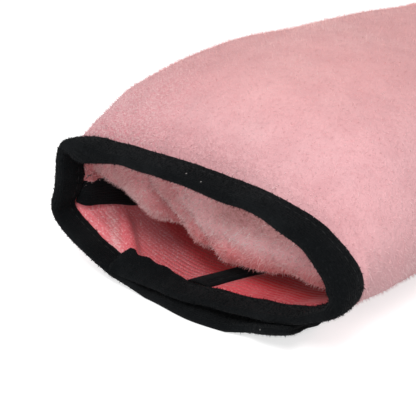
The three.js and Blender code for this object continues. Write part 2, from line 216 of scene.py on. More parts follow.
def mouth_outline():
    """Middle of the cover's cloth at a mouth: inner flap, right wall, top lip, left wall, outer flap."""
    w, h = MOUTH_HALF_WIDTH, MOUTH_LIP_HEIGHT
    inner = INNER_FLAP_AT_MOUTH
    return np.array([
        (INNER_FLAP_EDGE["mouth"], inner), (0.13 * w, inner + 0.02 * h), (0.45 * w, inner + 0.06 * h),
        (0.78 * w, inner + 0.17 * h), (0.965 * w, 0.43 * h), (0.995 * w, 0.57 * h), (0.915 * w, 0.7 * h),
        (0.75 * w, 0.855 * h), (0.45 * w, 0.955 * h), (0.1 * w, h), (-0.27 * w, 1.02 * h),
        (-0.59 * w, 1.03 * h), (-0.82 * w, 1.04 * h), (-0.91 * w, 0.91 * h), (-0.935 * w, 0.65 * h),
        (-0.96 * w, 0.42 * h), (-0.7 * w, 0.2 * h), (-0.37 * w, 0.06 * h), (0.2 * w, 0),
        (OUTER_FLAP_EDGE["mouth"], 0),
    ])


def waist_outline():
    """The same line where the sleeve is fullest."""
    w, h = WAIST_HALF_WIDTH, WAIST_HEIGHT
    rest = INNER_FLAP_REST
    return np.array([
        (INNER_FLAP_EDGE["waist"], rest), (0.32 * w, rest), (0.54 * w, rest),
        (0.75 * w, rest + 0.05 * h), (0.895 * w, 0.26 * h), (0.975 * w, 0.45 * h), (0.94 * w, 0.66 * h),
        (0.76 * w, 0.84 * h), (0.41 * w, 0.955 * h), (0, h), (-0.41 * w, 0.955 * h),
        (-0.76 * w, 0.84 * h), (-0.95 * w, 0.66 * h), (-w, 0.45 * h), (-0.94 * w, 0.26 * h),
        (-0.78 * w, 0.11 * h), (-0.5 * w, 0.025 * h), (-0.16 * w, 0), (0.25 * w, 0),
        (OUTER_FLAP_EDGE["waist"], 0),
    ])


MOUTH_OUTLINE = mouth_outline()
WAIST_OUTLINE = waist_outline()
LIP_POINTS = slice(6, 14)
RIGHT_WALL_POINT = 5.1
UPPER_LEFT_POINT = 11.6
LEFT_WALL_POINT = 13.8
OUTER_FLAP_POINT = 18.2
LAST_POINT = len(MOUTH_OUTLINE) - 1


def from_nearer_mouth(d):
    return np.minimum(d, LENGTH - d)


def section_points(d):
    """Points that the section at distance d from the front mouth passes through."""
    near = from_nearer_mouth(d)
    t = np.clip((near - TAPE_WIDTH) / DOME_LENGTH, 0, 1)
    grown = (1 - (1 - t) ** 2) ** DOME_BLUNTNESS
    rooted = MOUTH_OUTLINE.copy()
    rooted[LIP_POINTS, 1] += LIP_RISE * min(1, near / TAPE_WIDTH)
    points = mix(rooted, WAIST_OUTLINE, grown)
    turned = smoothstep(near, 0, FLAP_TURN_LENGTH)
    points[0, 0] = mix(INNER_FLAP_EDGE["mouth"], INNER_FLAP_EDGE["waist"], turned)
    points[-1, 0] = mix(OUTER_FLAP_EDGE["mouth"], OUTER_FLAP_EDGE["waist"], turned)
    points[-1, 1] += CORNER_LIFT * (1 - smoothstep(near, 0, CORNER_LENGTH))
    return points


FINE_STEPS = 4000


def even_shares(points, count, anchors):
    """Shares of a smooth curve that are evenly spaced along it between anchors."""
    fine = np.linspace(0, 1, FINE_STEPS + 1)
    steps = np.linalg.norm(np.diff(smooth_line(points, fine), axis=0), axis=1)
    walked = np.concatenate([[0], np.cumsum(steps)])
    stops = np.interp([0, *anchors, 1], fine, walked)
    shares = []
    for start, end in zip(stops, stops[1:]):
        columns = max(2, round(count * (end - start) / walked[-1]))
        shares.extend(np.interp(np.linspace(start, end, columns, endpoint=False), walked, fine))
    return np.array([*shares, 1.0])


PANEL_RIGHT = PANEL_RIGHT_EDGE / LAST_POINT
PANEL_LEFT = PANEL_LEFT_EDGE / LAST_POINT
COVER_SHARES = even_shares(WAIST_OUTLINE, COVER_COLUMNS, [PANEL_RIGHT, PANEL_LEFT])
RIGHT_COLUMN = int(np.argmin(abs(COVER_SHARES - PANEL_RIGHT)))
LEFT_COLUMN = int(np.argmin(abs(COVER_SHARES - PANEL_LEFT)))
COLUMN_NUMBERS = np.arange(len(COVER_SHARES))
ON_OUTER_FLAP = COLUMN_NUMBERS > LEFT_COLUMN
PAST_LEFT_WALL = smoothstep(COLUMN_NUMBERS, LEFT_COLUMN, LEFT_COLUMN + 12)


def row_distances():
    """Distances of the cloth's rows from the front mouth, close together near both mouths."""
    distances = [FOLD_DEPTH]
    while distances[-1] < LENGTH / 2:
        step = mix(ROW_STEP_AT_MOUTH, ROW_STEP_INSIDE, smoothstep(distances[-1], 8, 60))
        distances.append(distances[-1] + float(step))
    half = np.array(distances[:-1])
    stretch = LENGTH / 2 / (half[-1] + ROW_STEP_INSIDE / 2) - 1
    half *= 1 + stretch * (half - half[0]) / (half[-1] - half[0])
    return np.concatenate([half, LENGTH - half[::-1]])


ROWS = row_distances()


def around_point(point, reach):
    """A hump over the cover's columns, round one of the points of its section."""
    return hump(COVER_SHARES * LAST_POINT, point, reach)


# The mouths' tape is wider on the outer flap and gathers at the right wall and the upper left corner
TAPE_EXTRA = 0.5 * around_point(RIGHT_WALL_POINT, 1.5) + 2.5 * around_point(OUTER_FLAP_POINT, 1.3)
TAPE_GATHER = (
    3.2 * around_point(RIGHT_WALL_POINT, 1.3) + 4.2 * around_point(UPPER_LEFT_POINT, 0.65)
    + 1.3 * around_point(LEFT_WALL_POINT, 1.0)
)


SEED_STEP = 17.3


def field(points, scale, seed):
    """Smooth noise from -1 to 1 over a grid of points, with features about scale wide."""
    flat = points.reshape(-1, 3) / scale + seed * SEED_STEP
    values = np.array([noise.noise(Vector(p)) for p in flat])
    return values.reshape(points.shape[:-1])


def grid_normals(points):
    """Unit normals of a grid, pointing away from the tunnel."""
    along = np.gradient(points, axis=0)
    across = np.gradient(points, axis=1)
    normals = np.cross(along, across)
    return normals / np.linalg.norm(normals, axis=-1, keepdims=True)


def cover_grid():
    """Middle of the cover's cloth: rows along the sleeve, columns round its section."""
    grid = np.zeros((len(ROWS), len(COVER_SHARES), 3))
    for i, d in enumerate(ROWS):
        line = smooth_line(section_points(d), COVER_SHARES)
        grid[i, :, 0] = line[:, 0]
        grid[i, :, 1] = d - LENGTH / 2
        grid[i, :, 2] = line[:, 1]
    return grid


def walked_from(grid, column):
    """Distance along each row from a column, in millimetres."""
    steps = np.linalg.norm(np.diff(grid, axis=1), axis=2)
    walked = np.concatenate([np.zeros((len(grid), 1)), np.cumsum(steps, axis=1)], axis=1)
    return np.abs(walked - walked[:, [column]])


COVER = cover_grid()
NEAR = from_nearer_mouth(ROWS)[:, None]
TO_INNER_EDGE = walked_from(COVER, 0)
TO_OUTER_EDGE = walked_from(COVER, -1)
TO_LONG_EDGE = np.minimum(TO_INNER_EDGE, TO_OUTER_EDGE)


# Cloth surfaces

LUMP_HEIGHT = 1.3
LUMP_WIDTH = 48
SMALL_LUMP_HEIGHT = 0.45
SMALL_LUMP_WIDTH = 21
PUCKER_HEIGHT = 0.55
PUCKER_WIDTH = 7.5


def lumpy_cover():
    """The cover with the filling's soft lumps on top and small puckers where the tape ends."""
    normals = grid_normals(COVER)
    stuffed = smoothstep(TO_INNER_EDGE, 75, 110) * smoothstep(TO_OUTER_EDGE, 75, 110)
    clear_of_tape = smoothstep(NEAR, TAPE_WIDTH, 45)
    lumps = field(COVER, LUMP_WIDTH, 1) * LUMP_HEIGHT
    lumps = lumps + field(COVER, SMALL_LUMP_WIDTH, 2) * SMALL_LUMP_HEIGHT
    puckers = field(COVER * np.array([1, 0.35, 1]), PUCKER_WIDTH, 3)
    near_tape = smoothstep(NEAR, TAPE_WIDTH - 1, TAPE_WIDTH + 3) * (1 - smoothstep(NEAR, 14, 30))
    off_flaps = smoothstep(TO_INNER_EDGE, 40, 60) * smoothstep(TO_OUTER_EDGE, 60, 90)
    sink = PILE_SINK * smoothstep(NEAR, 60, 95) * (1 - 0.5 * smoothstep(NEAR, 105, 140))
    sink += PILE_SINK * smoothstep(NEAR, TAPE_WIDTH - 1, TAPE_WIDTH + 4) * (1 - smoothstep(NEAR, 20, 34))
    sink = sink * off_flaps
    rise = lumps * stuffed * clear_of_tape + puckers * near_tape * PUCKER_HEIGHT - sink
    return COVER + normals * rise[..., None]


COVER = lumpy_cover()
COVER_NORMALS = grid_normals(COVER)


def bowed(points):
    """The outer flap's ends, which aren't quite straight and stand out a little past the mouths."""
    bow = MOUTH_BOW * hump(points[..., 0], BOW_MIDDLE, BOW_SPREAD)
    bow = bow + CORNER_BOW * smoothstep(points[..., 0], 28, 36)
    outward = np.where(ROWS < LENGTH / 2, -1, 1)[:, None]
    shift = bow * PAST_LEFT_WALL * (1 - smoothstep(NEAR, 0, BOW_LENGTH))
    points[..., 1] += outward * shift
    return points


def wavy(points):
    """Small waves in the bound mouths, where the tape pulled the cloth unevenly."""
    wave = field(points * np.array([1, 0.4, 1]), MOUTH_WAVE_WIDTH, 12)
    points += COVER_NORMALS * (MOUTH_WAVE * wave * (1 - smoothstep(NEAR, 14, 34)))[..., None]
    return points


def shouldered(points):
    """The upper left shoulder, which the tape pulls down and which swells up again behind it."""
    upper = smoothstep(points[..., 2], 20, 34)
    pulled = hump(NEAR, 10, 6) * hump(points[..., 0], -52, 9)
    swollen = hump(NEAR, 30, 10) * hump(points[..., 0], -56, 9)
    points[..., 2] += (SHOULDER_SWELL * swollen - SHOULDER_PULL * pulled) * upper
    return points


def folded(points):
    """The soft fold that runs back into the sleeve where the left wall turns into the outer flap."""
    rise = FLAP_FOLD_RISE * hump(points[..., 0], FLAP_FOLD_START - FLAP_FOLD_SLANT * NEAR, FLAP_FOLD_WIDTH)
    rise *= smoothstep(NEAR, 3, 12) * (1 - smoothstep(NEAR, 22, 40)) * PAST_LEFT_WALL
    points[..., 2] += rise
    return points


def cover_pile_height():
    """How far the pile's surface stands off the middle of the cloth. Tape presses it flat."""
    off_mouth = smoothstep(NEAR - TAPE_EXTRA, TAPE_WIDTH - 0.8, TAPE_WIDTH + 1.6)
    off_edges = smoothstep(TO_LONG_EDGE, TAPE_ON_CLOTH - 0.6, TAPE_ON_CLOTH + 2.2)
    free = np.minimum(off_mouth, off_edges)
    uneven = 1 + 0.16 * field(COVER, 3.4, 4) + 0.10 * field(COVER, 1.7, 5)
    return mix(PRESSED_CLOTH / 2, CLOTH / 2 + COVER_PILE * uneven, free)


def stand_on_floor(points, level=0.02):
    points[..., 2] = np.maximum(points[..., 2], level)
    return points


def rest_level():
    """Height of the outer flap's cloth, which lies on its tape near its edges and else on its pile."""
    off_mouth = smoothstep(NEAR, TAPE_WIDTH + 2, 2 * TAPE_WIDTH + 4)
    off_edge = smoothstep(TO_OUTER_EDGE, TAPE_ON_CLOTH, TAPE_ON_CLOTH + 3)
    return mix(TAPE_STAND, CLOTH / 2, np.minimum(off_mouth, off_edge))


def settle_flap(points):
    """Lifts the outer flap where the smooth section would sink under the floor."""
    points[:, ON_OUTER_FLAP, 2] = np.maximum(points[..., 2], rest_level())[:, ON_OUTER_FLAP]
    return points


def backing_height():
    """How far the knitted back lies from the middle of the cloth."""
    off_mouth = smoothstep(NEAR - TAPE_EXTRA, TAPE_WIDTH - 0.5, TAPE_WIDTH + 2)
    off_edges = smoothstep(TO_LONG_EDGE, TAPE_ON_CLOTH - 0.5, TAPE_ON_CLOTH + 2)
    return mix(PRESSED_CLOTH / 2, CLOTH / 2, np.minimum(off_mouth, off_edges))


COVER = folded(bowed(settle_flap(shouldered(wavy(COVER)))))
COVER_NORMALS = grid_normals(COVER)
COVER_OUTSIDE = stand_on_floor(COVER + COVER_NORMALS * cover_pile_height()[..., None])
COVER_INSIDE = COVER - COVER_NORMALS * backing_height()[..., None]

SEAM_ROW = int(np.argmin(abs(ROWS - TAPE_WIDTH)))


def hanging_outline(right, left):
    """The panel's section where it hangs free, from the right wall through two lobes to the left."""
    w, low, curl = WAIST_HALF_WIDTH, PANEL_LOW_POINT, PANEL_CURL_RADIUS
    return [
        right, (right[0] - 0.8 * curl, right[1] + 0.8 * curl), (right[0] - 1.6 * curl, right[1] - 1),
        (0.7 * w, low + 2.4), (0.47 * w, low + 0.6), (0.22 * w, low - 0.8), (0.03 * w, low + 0.1),
        (-0.18 * w, low + 2.0), (-0.42 * w, low + 7.4), (-0.66 * w, low + 11.2),
        (left[0] + 1.6 * curl, left[1] - 2.5), (left[0] + 0.8 * curl, left[1] + 0.8 * curl), left,
    ]


def on_cover(row, columns, inward_offset):
    """Points inside the cover along one row, at columns that may lie between the grid's own."""

    def between(grid):
        along = [np.interp(columns, COLUMN_NUMBERS, grid[row, :, axis]) for axis in range(3)]
        return np.stack(along, axis=1)

    return between(COVER) - between(COVER_NORMALS) * inward_offset


def panel_grid():
    """Middle of the inner panel's cloth, from its right long edge to its left one."""
    columns = np.arange(RIGHT_COLUMN, LEFT_COLUMN + 1)
    grid = np.zeros((len(ROWS), len(columns), 3))
    hanging_columns = len(columns) - 1 - 2 * PANEL_WALL_COLUMNS
    k = np.arange(len(columns))
    on_wall = np.minimum(k, k[::-1]) <= PANEL_WALL_COLUMNS
    shares = np.clip((k - PANEL_WALL_COLUMNS) / hanging_columns, 0, 1)
    for i, d in enumerate(ROWS):
        near = float(from_nearer_mouth(d))
        seam = SEAM_ROW if d < LENGTH / 2 else len(ROWS) - 1 - SEAM_ROW
        clear = mix(PRESSED_FLANGE, BOUND_PANEL_OFFSET, smoothstep(near, TAPE_WIDTH, PANEL_START + 1))
        lift = LEFT_EDGE_LIFT_COLUMNS * (1 - smoothstep(near, 14, 34)) * smoothstep(k, 0.6 * k[-1], k[-1])
        laid = on_cover(i, columns - lift, clear)
        if near <= PANEL_START:
            grid[i] = laid
            continue
        at_seam = on_cover(seam, columns, PRESSED_FLANGE)
        right, left = laid[PANEL_WALL_COLUMNS], laid[-1 - PANEL_WALL_COLUMNS]
        line = smooth_line(hanging_outline((right[0], right[2]), (left[0], left[2])), shares)
        drop = min(1, (near - PANEL_START) / PANEL_DROP_LENGTH)
        hanging = np.stack([line[:, 0], np.full(len(line), d - LENGTH / 2), line[:, 1]], axis=1)
        free = mix(at_seam, hanging, math.sqrt(1 - (1 - drop) ** 2))
        free[:, 1] = d - LENGTH / 2
        grid[i] = np.where(on_wall[:, None], laid, free)
    return grid


def relaxed(grid, hold, rounds):
    """Evens a grid out by moving each point to the mean of its neighbours, except where it is held."""
    free = (1 - hold)[1:-1, 1:-1, None]
    for _ in range(rounds):
        mean = (grid[:-2, 1:-1] + grid[2:, 1:-1] + grid[1:-1, :-2] + grid[1:-1, 2:]) / 4
        grid[1:-1, 1:-1] += (mean - grid[1:-1, 1:-1]) * free * 0.5
    return grid


PANEL = panel_grid()
PANEL_COLUMNS = PANEL.shape[1]
PANEL_SIDE = np.minimum(np.arange(PANEL_COLUMNS), np.arange(PANEL_COLUMNS)[::-1])[None, :]
PANEL_HELD = np.maximum(
    1 - smoothstep(NEAR, PANEL_START - 1, PANEL_START + 3),
    1 - smoothstep(PANEL_SIDE, PANEL_WALL_COLUMNS - 1, PANEL_WALL_COLUMNS + 2),
)
PANEL = relaxed(PANEL, PANEL_HELD, 10)

CREASE_ACROSS = np.array([0.48, 0.69, 0.54])
CREASE_PLACE = 16.5
CREASE_RISE = 3.8
LEFT_LOBE_SAG = 2.2
SECOND_CREASE_PLACE = 21.0
SECOND_CREASE_RISE = 2.2


def creased_panel():
    """The panel with two lobes that meet in a long crease, and how deep each point is in a crease."""
    normals = grid_normals(PANEL)
    free = 1 - PANEL_HELD
    past_mouth = PANEL + np.array([0, LENGTH / 2, 0])
    at_front = 1 - smoothstep(past_mouth[..., 1], 30, 90)
    from_crease = past_mouth @ CREASE_ACROSS - CREASE_PLACE
    crease = hump(from_crease, 0, 1.2)
    left_lobe = smoothstep(from_crease, -9, -1.5) * (1 - smoothstep(from_crease, -1.5, 0.5))
    second_crease = hump(past_mouth @ CREASE_ACROSS, SECOND_CREASE_PLACE, 1.3)
    folds = field(PANEL * np.array([1, 0.4, 0.6]), 9, 6) * 1.3 + field(PANEL, 4, 7) * 0.5
    rise = crease * CREASE_RISE - left_lobe * LEFT_LOBE_SAG + second_crease * SECOND_CREASE_RISE
    rise = rise * at_front + folds
    depth = (crease + 0.7 * second_crease) * at_front * free
    return PANEL + normals * (rise * free)[..., None], np.minimum(depth, 1)


DRAPE_FRAMES = 30
DRAPE_SLACK = 0.02
DRAPE_GRAVITY = 0.5
DRAPE_LIMIT = 2.5
DRAPE_QUALITY = 8
DRAPE_MASS = 0.05
DRAPE_STRETCH_STIFFNESS = 20
DRAPE_SHEAR_STIFFNESS = 8
DRAPE_BENDING_STIFFNESS = 0.3


def spread_over(values, rows, columns, shape):
    """Values at some rows and columns of a grid, filled in linearly over the whole of it."""
    wide = np.stack([np.interp(np.arange(shape[1]), columns, line) for line in values])
    return np.stack([np.interp(np.arange(shape[0]), rows, wide[:, j]) for j in range(shape[1])], axis=1)


def draped(grid, held):
    """A grid of cloth after a short simulation: held along its bound edges, it hangs in its slack.

    The flaps below hold the real cloth up, so no point moves further than the limit.
    """
    rows = np.unique(np.r_[0:len(grid):2, len(grid) - 1])
    columns = np.unique(np.r_[0:grid.shape[1]:2, grid.shape[1] - 1])
    coarse = grid[np.ix_(rows, columns)]
    width = len(columns)
    mesh = bpy.data.meshes.new("drape")
    faces = [(a, a + width, a + width + 1, a + 1)
             for i in range(len(rows) - 1) for a in range(i * width, (i + 1) * width - 1)]
    mesh.from_pydata((coarse.reshape(-1, 3) * MM).tolist(), [], faces)
    host = bpy.data.objects.new("drape", mesh)
    bpy.context.scene.collection.objects.link(host)
    pins = host.vertex_groups.new(name="held")
    for index, weight in enumerate(held[np.ix_(rows, columns)].ravel()):
        pins.add([index], float(weight), "REPLACE")
    cloth = host.modifiers.new("cloth", "CLOTH")
    settings = cloth.settings
    settings.quality = DRAPE_QUALITY
    settings.mass = DRAPE_MASS
    settings.tension_stiffness = settings.compression_stiffness = DRAPE_STRETCH_STIFFNESS
    settings.shear_stiffness = DRAPE_SHEAR_STIFFNESS
    settings.bending_stiffness = DRAPE_BENDING_STIFFNESS
    settings.shrink_min = settings.shrink_max = -DRAPE_SLACK
    settings.vertex_group_mass = "held"
    settings.effector_weights.gravity = DRAPE_GRAVITY
    cloth.point_cache.frame_end = DRAPE_FRAMES
    for frame in range(1, DRAPE_FRAMES + 1):
        bpy.context.scene.frame_set(frame)
    settled = host.evaluated_get(bpy.context.evaluated_depsgraph_get())
    places = np.zeros(len(settled.data.vertices) * 3, np.float32)
    settled.data.vertices.foreach_get("co", places)
    bpy.data.objects.remove(host)
    bpy.context.scene.frame_set(1)
    moved = places.reshape(coarse.shape) / MM - coarse
    far = np.linalg.norm(moved, axis=-1, keepdims=True)
    moved *= DRAPE_LIMIT / (DRAPE_LIMIT + far)
    shape = grid.shape[:2]
    return grid + np.stack([spread_over(moved[..., k], rows, columns, shape) for k in range(3)], axis=-1)


PANEL = draped(PANEL, PANEL_HELD)
PANEL, CREASE_DEPTH = creased_panel()
PANEL_NORMALS = grid_normals(PANEL)
PANEL_FREE = np.minimum(smoothstep(NEAR, TAPE_WIDTH - 0.4, TAPE_WIDTH + 1.6), smoothstep(PANEL_SIDE, 5, 8))


def panel_pile_height():
    uneven = 1 + 0.2 * field(PANEL, 2.6, 8)
    return mix(PRESSED_PANEL / 2, PANEL_CLOTH / 2 + PANEL_PILE * uneven, PANEL_FREE)


PANEL_UNDER = PANEL - PANEL_NORMALS * panel_pile_height()[..., None]
PANEL_TOP = PANEL + PANEL_NORMALS * mix(PRESSED_PANEL / 2, PANEL_CLOTH / 2, PANEL_FREE)[..., None]


# Meshes


def new_piece(name, points, faces, material):
    """A mesh piece from points in millimetres, with its place in its mesh."""
    mesh = bpy.data.meshes.new(name)
    mesh.from_pydata((np.asarray(points) * MM).tolist(), [], faces)
    mesh.update()
    piece = bpy.data.objects.new(name, mesh)
    bpy.context.scene.collection.objects.link(piece)
    mesh.materials.append(material)
    for polygon in mesh.polygons:
        polygon.use_smooth = True
    return piece


def grid_faces(rows, columns, start, flip):
    faces = []
    for i in range(rows - 1):
        for j in range(columns - 1):
            a = start + i * columns + j
            quad = (a, a + columns, a + columns + 1, a + 1)
            faces.append(quad[::-1] if flip else quad)
    return faces


def rim_faces(rows, columns):
    """Faces that close a shell between its outer and its inner grid."""
    under = rows * columns
    rim = [i * columns for i in range(rows)]
    rim += [(rows - 1) * columns + j for j in range(1, columns)]
    rim += [i * columns + columns - 1 for i in range(rows - 2, -1, -1)]
    rim += [j for j in range(columns - 2, 0, -1)]
    return [
        (a, a + under, b + under, b)
        for a, b in zip(rim, rim[1:] + rim[:1])
    ]


def shell(name, outer, inner, material):
    """Closed cloth between two grids, the first on the side that the normals point to."""
    rows, columns = outer.shape[:2]
    points = np.concatenate([outer.reshape(-1, 3), inner.reshape(-1, 3)])
    faces = grid_faces(rows, columns, 0, False)
    faces += grid_faces(rows, columns, rows * columns, True)
    faces += rim_faces(rows, columns)
    return new_piece(name, points, faces, material)


def set_map(piece, name, uv):
    """Gives a piece a UV map from one place for each of its points."""
    layer = piece.data.uv_layers.new(name=name)
    loops = np.zeros(len(piece.data.loops), int)
    piece.data.loops.foreach_get("vertex_index", loops)
    layer.data.foreach_set("uv", uv[loops].ravel())


def lay_cloth_map(piece, grid):
    """A UV map in metres: u across the cloth along its section, v along the sleeve."""
    rows, columns = grid.shape[:2]
    across = walked_from(grid, 0) * MM
    along = np.broadcast_to(ROWS[:rows, None] * MM, (rows, columns))
    uv = np.stack([across, along], axis=-1).reshape(-1, 2)
    set_map(piece, "cloth", np.concatenate([uv, uv]))


def set_inner_material(piece, material, grid):
    """Gives the faces of a shell's inner grid a second material."""
    rows, columns = grid.shape[:2]
    count = (rows - 1) * (columns - 1)
    piece.data.materials.append(material)
    for polygon in piece.data.polygons[count:2 * count]:
        polygon.material_index = 1


# Bound edges

FLAT_STEPS = 7
FOLD_STEPS = 9
STITCH_STEP = 2
TAPE_PUFF = 0.35
STITCH_DIP = 0.32
STITCH_DIP_PLACE = 0.26
STITCH_DIP_WIDTH = 0.1


def unit(vectors):
    return vectors / np.linalg.norm(vectors, axis=-1, keepdims=True)


def tape_rings(edge, edge_normal, end, end_normal, outer_reach, inner_reach):
    """Rings of folded tape, one for each station: round its outside, then back round its inside."""
    away = unit(edge - end)
    ragged = field(end, 9.0, 13) * 0.5 + field(end, 2.3, 9) * 0.25 + field(end, 0.9, 10) * 0.14
    end = end - away * ragged[:, None]
    shares = np.linspace(0, 1, FLAT_STEPS + 1)[:-1]
    swell = TAPE_PUFF * np.sin(math.pi * shares)
    swell -= STITCH_DIP * hump(shares, STITCH_DIP_PLACE, STITCH_DIP_WIDTH)
    swell[0] -= TAPE * 0.3

    def side(reach, outward, lift):
        return [
            mix(end, edge, s) + mix(end_normal, edge_normal, s) * (outward * (reach + puff * lift))[:, None]
            for s, puff in zip(shares, swell)
        ]

    def fold(out, into, depth):
        middle, half = (out - into) / 2, (out + into) / 2
        turns = [math.pi * k / FOLD_STEPS for k in range(FOLD_STEPS + 1)]
        return [
            edge + edge_normal * (middle + half * math.cos(turn))[:, None] + away * depth * math.sin(turn)
            for turn in turns
        ]

    def face(out, into, depth, lift):
        return [*side(out, 1, lift), *fold(out, into, depth), *side(into, -1, lift)[::-1]]

    outside = face(outer_reach + TAPE, inner_reach + TAPE, FOLD_DEPTH, 1)
    inside = face(outer_reach, inner_reach, FOLD_DEPTH - TAPE, 0)
    return np.stack([*outside, *inside[::-1]], axis=1)


def folded_loft(name, rings, material):
    """Closed tape through rings, with its two ends as strips across the folded section."""
    count, size = rings.shape[:2]
    faces = []
    for i in range(count - 1):
        for k in range(size):
            after = (k + 1) % size
            faces.append((i * size + k, (i + 1) * size + k, (i + 1) * size + after, i * size + after))
    last = (count - 1) * size
    for k in range(size // 2 - 1):
        faces.append((k, k + 1, size - 2 - k, size - 1 - k))
        faces.append((last + size - 1 - k, last + size - 2 - k, last + k + 1, last + k))
    piece = new_piece(name, rings.reshape(-1, 3), faces, material)
    face_outward(piece)
    lay_tape_map(piece, rings)
    return piece


def face_outward(piece):
    """Turns the faces of a closed piece outward, going by the sign of its volume."""
    mesh = piece.data
    mesh.calc_loop_triangles()
    corners = np.array([[mesh.vertices[v].co[:] for v in t.vertices] for t in mesh.loop_triangles])
    volume = np.einsum("ij,ij->i", corners[:, 0], np.cross(corners[:, 1], corners[:, 2])).sum()
    if volume < 0:
        mesh.flip_normals()


def lay_tape_map(piece, rings):
    """A UV map in metres: u along the tape, v round its section."""
    steps = np.linalg.norm(np.diff(rings[:, FLAT_STEPS], axis=0), axis=1)
    along = np.concatenate([[0], np.cumsum(steps)])
    girth = np.linalg.norm(np.diff(rings, axis=1), axis=2).mean(axis=0)
    round_it = np.concatenate([[0], np.cumsum(girth)])
    u, v = np.meshgrid(along, round_it, indexing="ij")
    set_map(piece, "tape", np.stack([u, v], axis=-1).reshape(-1, 2) * MM)


CLOSED_REACH = 0.08
TAIL_LENGTH = 26.0
TAIL_TILT = math.radians(52)
TAIL_STEPS = 20
END_LENGTH = 3.2
END_STEPS = 4
TIP_ROUNDING = 3.5
TIP_NARROWING = 0.55
TAIL_CRUMPLE = 0.09


def turned(vectors, axis, angle):
    """Vectors turned about an axis, by the right-hand rule."""
    return (
        vectors * math.cos(angle)
        + np.cross(axis, vectors) * math.sin(angle)
        + axis * (vectors @ axis) * (1 - math.cos(angle))
    )


def at_distances(grid, near, front):
    """One point of each column, at its distance from the front or the rear mouth."""
    stops = near if front else LENGTH - near
    return np.stack([
        [np.interp(stop, ROWS, grid[:, k, axis]) for axis in range(3)] for k, stop in enumerate(stops)
    ])


def mouth_rings(edge_row, front, with_tail):
    """Rings of the tape round a mouth, which also takes in the panel along the top and the walls."""
    holds_panel = smoothstep(COLUMN_NUMBERS, RIGHT_COLUMN - 3, RIGHT_COLUMN)
    holds_panel *= 1 - smoothstep(COLUMN_NUMBERS, LEFT_COLUMN, LEFT_COLUMN + 3)
    edge, edge_normal = COVER[edge_row], COVER_NORMALS[edge_row]
    width = TAPE_WIDTH + TAPE_EXTRA
    end, end_normal = at_distances(COVER, width, front), unit(at_distances(COVER_NORMALS, width, front))
    inner_reach = mix(PLAIN_REACH, REACH_OVER_PANEL, holds_panel) + TAPE_GATHER
    outer_reach = np.full(len(COLUMN_NUMBERS), PLAIN_REACH)
    past_inner = unit(edge[0] - edge[1])
    past_outer = unit(edge[-1] - edge[-2])
    stations = list(zip(edge, edge_normal, end, end_normal, outer_reach, inner_reach))
    tail = TAIL_LENGTH if with_tail else END_LENGTH
    tilt = TAIL_TILT if with_tail else 0
    before = [past_end(stations[0], past_inner, tail, tilt, k / TAIL_STEPS)
              for k in range(TAIL_STEPS, 0, -1)]
    after = [past_end(stations[-1], past_outer, END_LENGTH, 0, k / END_STEPS)
             for k in range(1, END_STEPS + 1)]
    parts = [np.array(part, float) for part in zip(*before, *stations, *after)]
    return tape_rings(*parts)


def past_end(station, direction, length, tilt, share):
    """A station of the tape past the cloth's corner, where it closes on itself and may lean up."""
    edge, edge_normal, end, end_normal, outer_reach, inner_reach = station
    shift = direction * length * share
    lean = -tilt * share
    closing = min(1, share * length / END_LENGTH)
    to_tip = length * (1 - share) / TIP_ROUNDING
    kept_width = 1 - TIP_NARROWING * (1 - min(1, to_tip)) ** 2 if tilt else 1
    crumple = TAIL_CRUMPLE * math.sin(share * length * 0.9) * share if tilt else 0
    return (
        edge + shift,
        turned(edge_normal, direction, lean),
        edge + shift + turned((end - edge) * (kept_width + crumple), direction, lean),
        turned(end_normal, direction, lean),
        mix(outer_reach, CLOSED_REACH, closing),
        mix(inner_reach, CLOSED_REACH, closing),
    )


def inward(grid, walked, normals, distance, from_end):
    """Points and normals at a distance from one side of a grid, along its rows."""
    points, directions = [], []
    for row, steps, row_normals in zip(grid, walked, normals):
        order = slice(None, None, -1) if from_end else slice(None)
        points.append([np.interp(distance, steps[order], row[order, k]) for k in range(3)])
        directions.append([np.interp(distance, steps[order], row_normals[order, k]) for k in range(3)])
    return np.array(points), unit(np.array(directions))


def long_edge_rings(grid, normals, start, width, from_end):
    """Rings of the tape along one long edge of a cloth, between the tapes of the two mouths."""
    rows = (ROWS >= start) & (ROWS <= LENGTH - start)
    grid, normals = grid[rows], normals[rows]
    walked = walked_from(grid, -1 if from_end else 0)
    end, end_normal = inward(grid, walked, normals, width, from_end)
    column = -1 if from_end else 0
    reach = np.full(len(grid), PLAIN_REACH)
    return tape_rings(grid[:, column], normals[:, column], end, end_normal, reach, reach)


# Shader groups


def add_node(tree, kind, **settings):
    node = tree.nodes.new(kind)
    for name, value in settings.items():
        setattr(node, name, value)
    return node


def feed(tree, node, **values):
    """Sets or links a node's inputs by name, with spaces written as underscores."""
    for name, value in values.items():
        socket = node.inputs[name.replace("_", " ")]
        if isinstance(value, bpy.types.NodeSocket):
            tree.links.new(value, socket)
        else:
            socket.default_value = value


def calculate(tree, operation, a, b=None, c=None):
    node = add_node(tree, "ShaderNodeMath", operation=operation)
    for socket, value in zip(node.inputs, (a, b, c)):
        if isinstance(value, bpy.types.NodeSocket):
            tree.links.new(value, socket)
        elif value is not None:
            socket.default_value = value
    return node.outputs[0]


def share_of(tree, mask, weight):
    """A mask weakened by a weight, or by another mask."""
    return calculate(tree, "MULTIPLY", mask, weight)


def noise_value(tree, vector, scale, detail, roughness):
    node = add_node(tree, "ShaderNodeTexNoise")
    feed(tree, node, Vector=vector, Scale=scale, Detail=detail, Roughness=roughness)
    return node.outputs["Fac"]


def split(tree, vector):
    """The X, Y and Z of a vector."""
    node = add_node(tree, "ShaderNodeSeparateXYZ")
    tree.links.new(vector, node.inputs[0])
    return node.outputs


